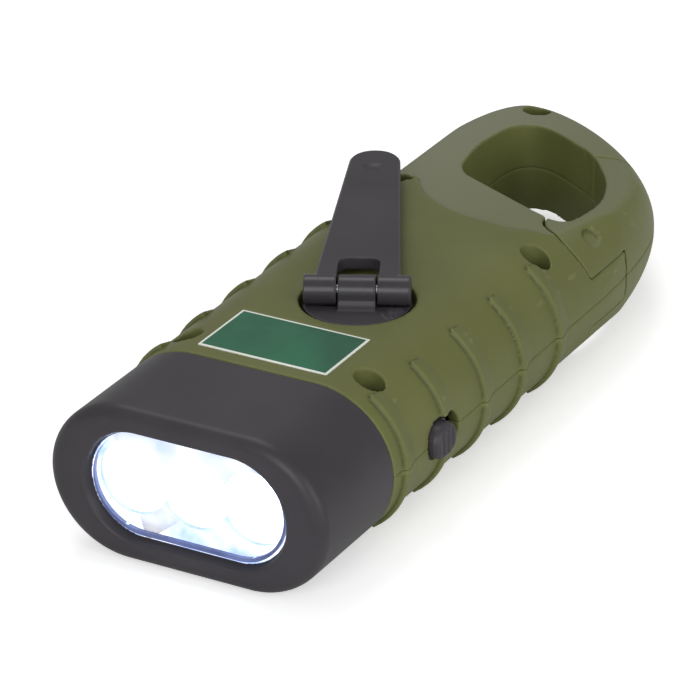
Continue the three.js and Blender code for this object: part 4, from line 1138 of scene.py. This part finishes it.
def switch_button():
    layers = []
    for x0, x1, inset in CAP_LAYERS:
        for side in (-1, 1):
            y = SWITCH_Y + side * (BUTTON_HALF[0] - BUTTON_HALF[1])
            layers.append(add_cross_rod(x0, x1, y, PARTING, BUTTON_HALF[1] - inset))
    cap = wrap(*layers)
    for i in (-1, 0, 1):
        cut(cap, add_rod(GROOVE_X, SWITCH_Y + GROOVE_PITCH * i, 9, 18, GROOVE_R, 48))
    stem = shared(solid_copy("switch_button"), add_block(15, 24.4, -30, 0, 5, 22))
    button = join(cap, stem)
    soften(button, 0.1, 4, 80000)
    return hand_over(
        button, "switch_button_moulding", "switch", "charcoal", charcoal, "switch_button"
    )


LABEL = (-12.25, 11.25, -28.9, -14.9)
LABEL_BORDER = 0.35


def label():
    film = add_block(*LABEL, LABEL_BED[4] + 0.01, BODY_HEIGHT + 0.04)
    apply_modifier(film, "BEVEL", width=0.05 * MM, segments=2)
    start_edit(film)
    bpy.ops.mesh.select_mode(type="FACE")
    end_edit()
    for face in film.data.polygons:
        face.select = face.normal.z > 0.99
    select_only(film)
    bpy.ops.object.mode_set(mode="EDIT")
    bpy.ops.mesh.inset(thickness=LABEL_BORDER * MM, depth=0)
    end_edit()
    hand_over(film, "plain_label", "casing", "label_print", label_edge, "label_panel")
    film.data.materials.append(label_film)
    for face in film.data.polygons:
        face.material_index = 1 if face.normal.z > 0.99 and face.area > 50 * MM**2 else 0


# Finishes on the CAD nodes, then the modelled pieces
for part in frame["record"]["subparts"]:
    node = nodes[part["node"]]
    finish(node, FINISH[part["material_slot"]])

casing()
gate_pin()
head()
window()
reflector_cups()
diodes()
crank_disc()
crank_arm()
crank_knob()
switch_button()
label()


# Floor, sky and lamps
def add_floor():
    bpy.ops.mesh.primitive_plane_add(size=12, location=(0, 0, -0.0001))
    floor = bpy.context.object
    floor.name = "floor"
    material, tree, shader = start_material("pale_floor")
    shader.inputs["Base Color"].default_value = (0.9, 0.9, 0.9, 1)
    shader.inputs["Roughness"].default_value = 0.7
    shader.inputs["Specular IOR Level"].default_value = 0.1
    shader.inputs["Emission Color"].default_value = (1, 1, 1, 1)
    path = tree.nodes.new("ShaderNodeLightPath")
    lift = tree.nodes.new("ShaderNodeMath")
    lift.operation = "MULTIPLY"
    lift.inputs[1].default_value = 0.45
    tree.links.new(path.outputs["Is Camera Ray"], lift.inputs[0])
    tree.links.new(lift.outputs["Value"], shader.inputs["Emission Strength"])
    finish(floor, material)


def add_world():
    world = bpy.data.worlds.new("studio")
    bpy.context.scene.world = world
    world.use_nodes = True
    tree = world.node_tree
    tree.nodes.clear()
    output = tree.nodes.new("ShaderNodeOutputWorld")
    lit = tree.nodes.new("ShaderNodeBackground")
    lit.inputs["Color"].default_value = (1, 1, 1, 1)
    lit.inputs["Strength"].default_value = 0.4
    seen = tree.nodes.new("ShaderNodeBackground")
    seen.inputs["Color"].default_value = (1, 1, 1, 1)
    seen.inputs["Strength"].default_value = 1.0
    path = tree.nodes.new("ShaderNodeLightPath")
    mix = tree.nodes.new("ShaderNodeMixShader")
    tree.links.new(path.outputs["Is Camera Ray"], mix.inputs["Fac"])
    tree.links.new(lit.outputs["Background"], mix.inputs[1])
    tree.links.new(seen.outputs["Background"], mix.inputs[2])
    tree.links.new(mix.outputs["Shader"], output.inputs["Surface"])


def add_lamp(name, place, size, power, aim=(0, 0.01, 0.01)):
    data = bpy.data.lights.new(name, "AREA")
    data.shape = "DISK"
    data.size = size
    data.energy = power
    lamp = bpy.data.objects.new(name, data)
    bpy.context.collection.objects.link(lamp)
    lamp.location = place
    lamp.rotation_euler = (Vector(aim) - Vector(place)).to_track_quat("-Z", "Y").to_euler()


add_floor()
add_world()
add_lamp("top_softbox", (-0.3, 0.3, 0.9), 0.5, 2.2)
add_lamp("front_softbox", (0.25, -0.95, 0.5), 0.6, 4.6)
add_lamp("side_softbox", (0.9, -0.2, 0.35), 0.6, 3.0)

bpy.context.scene.view_settings.view_transform = "Standard"
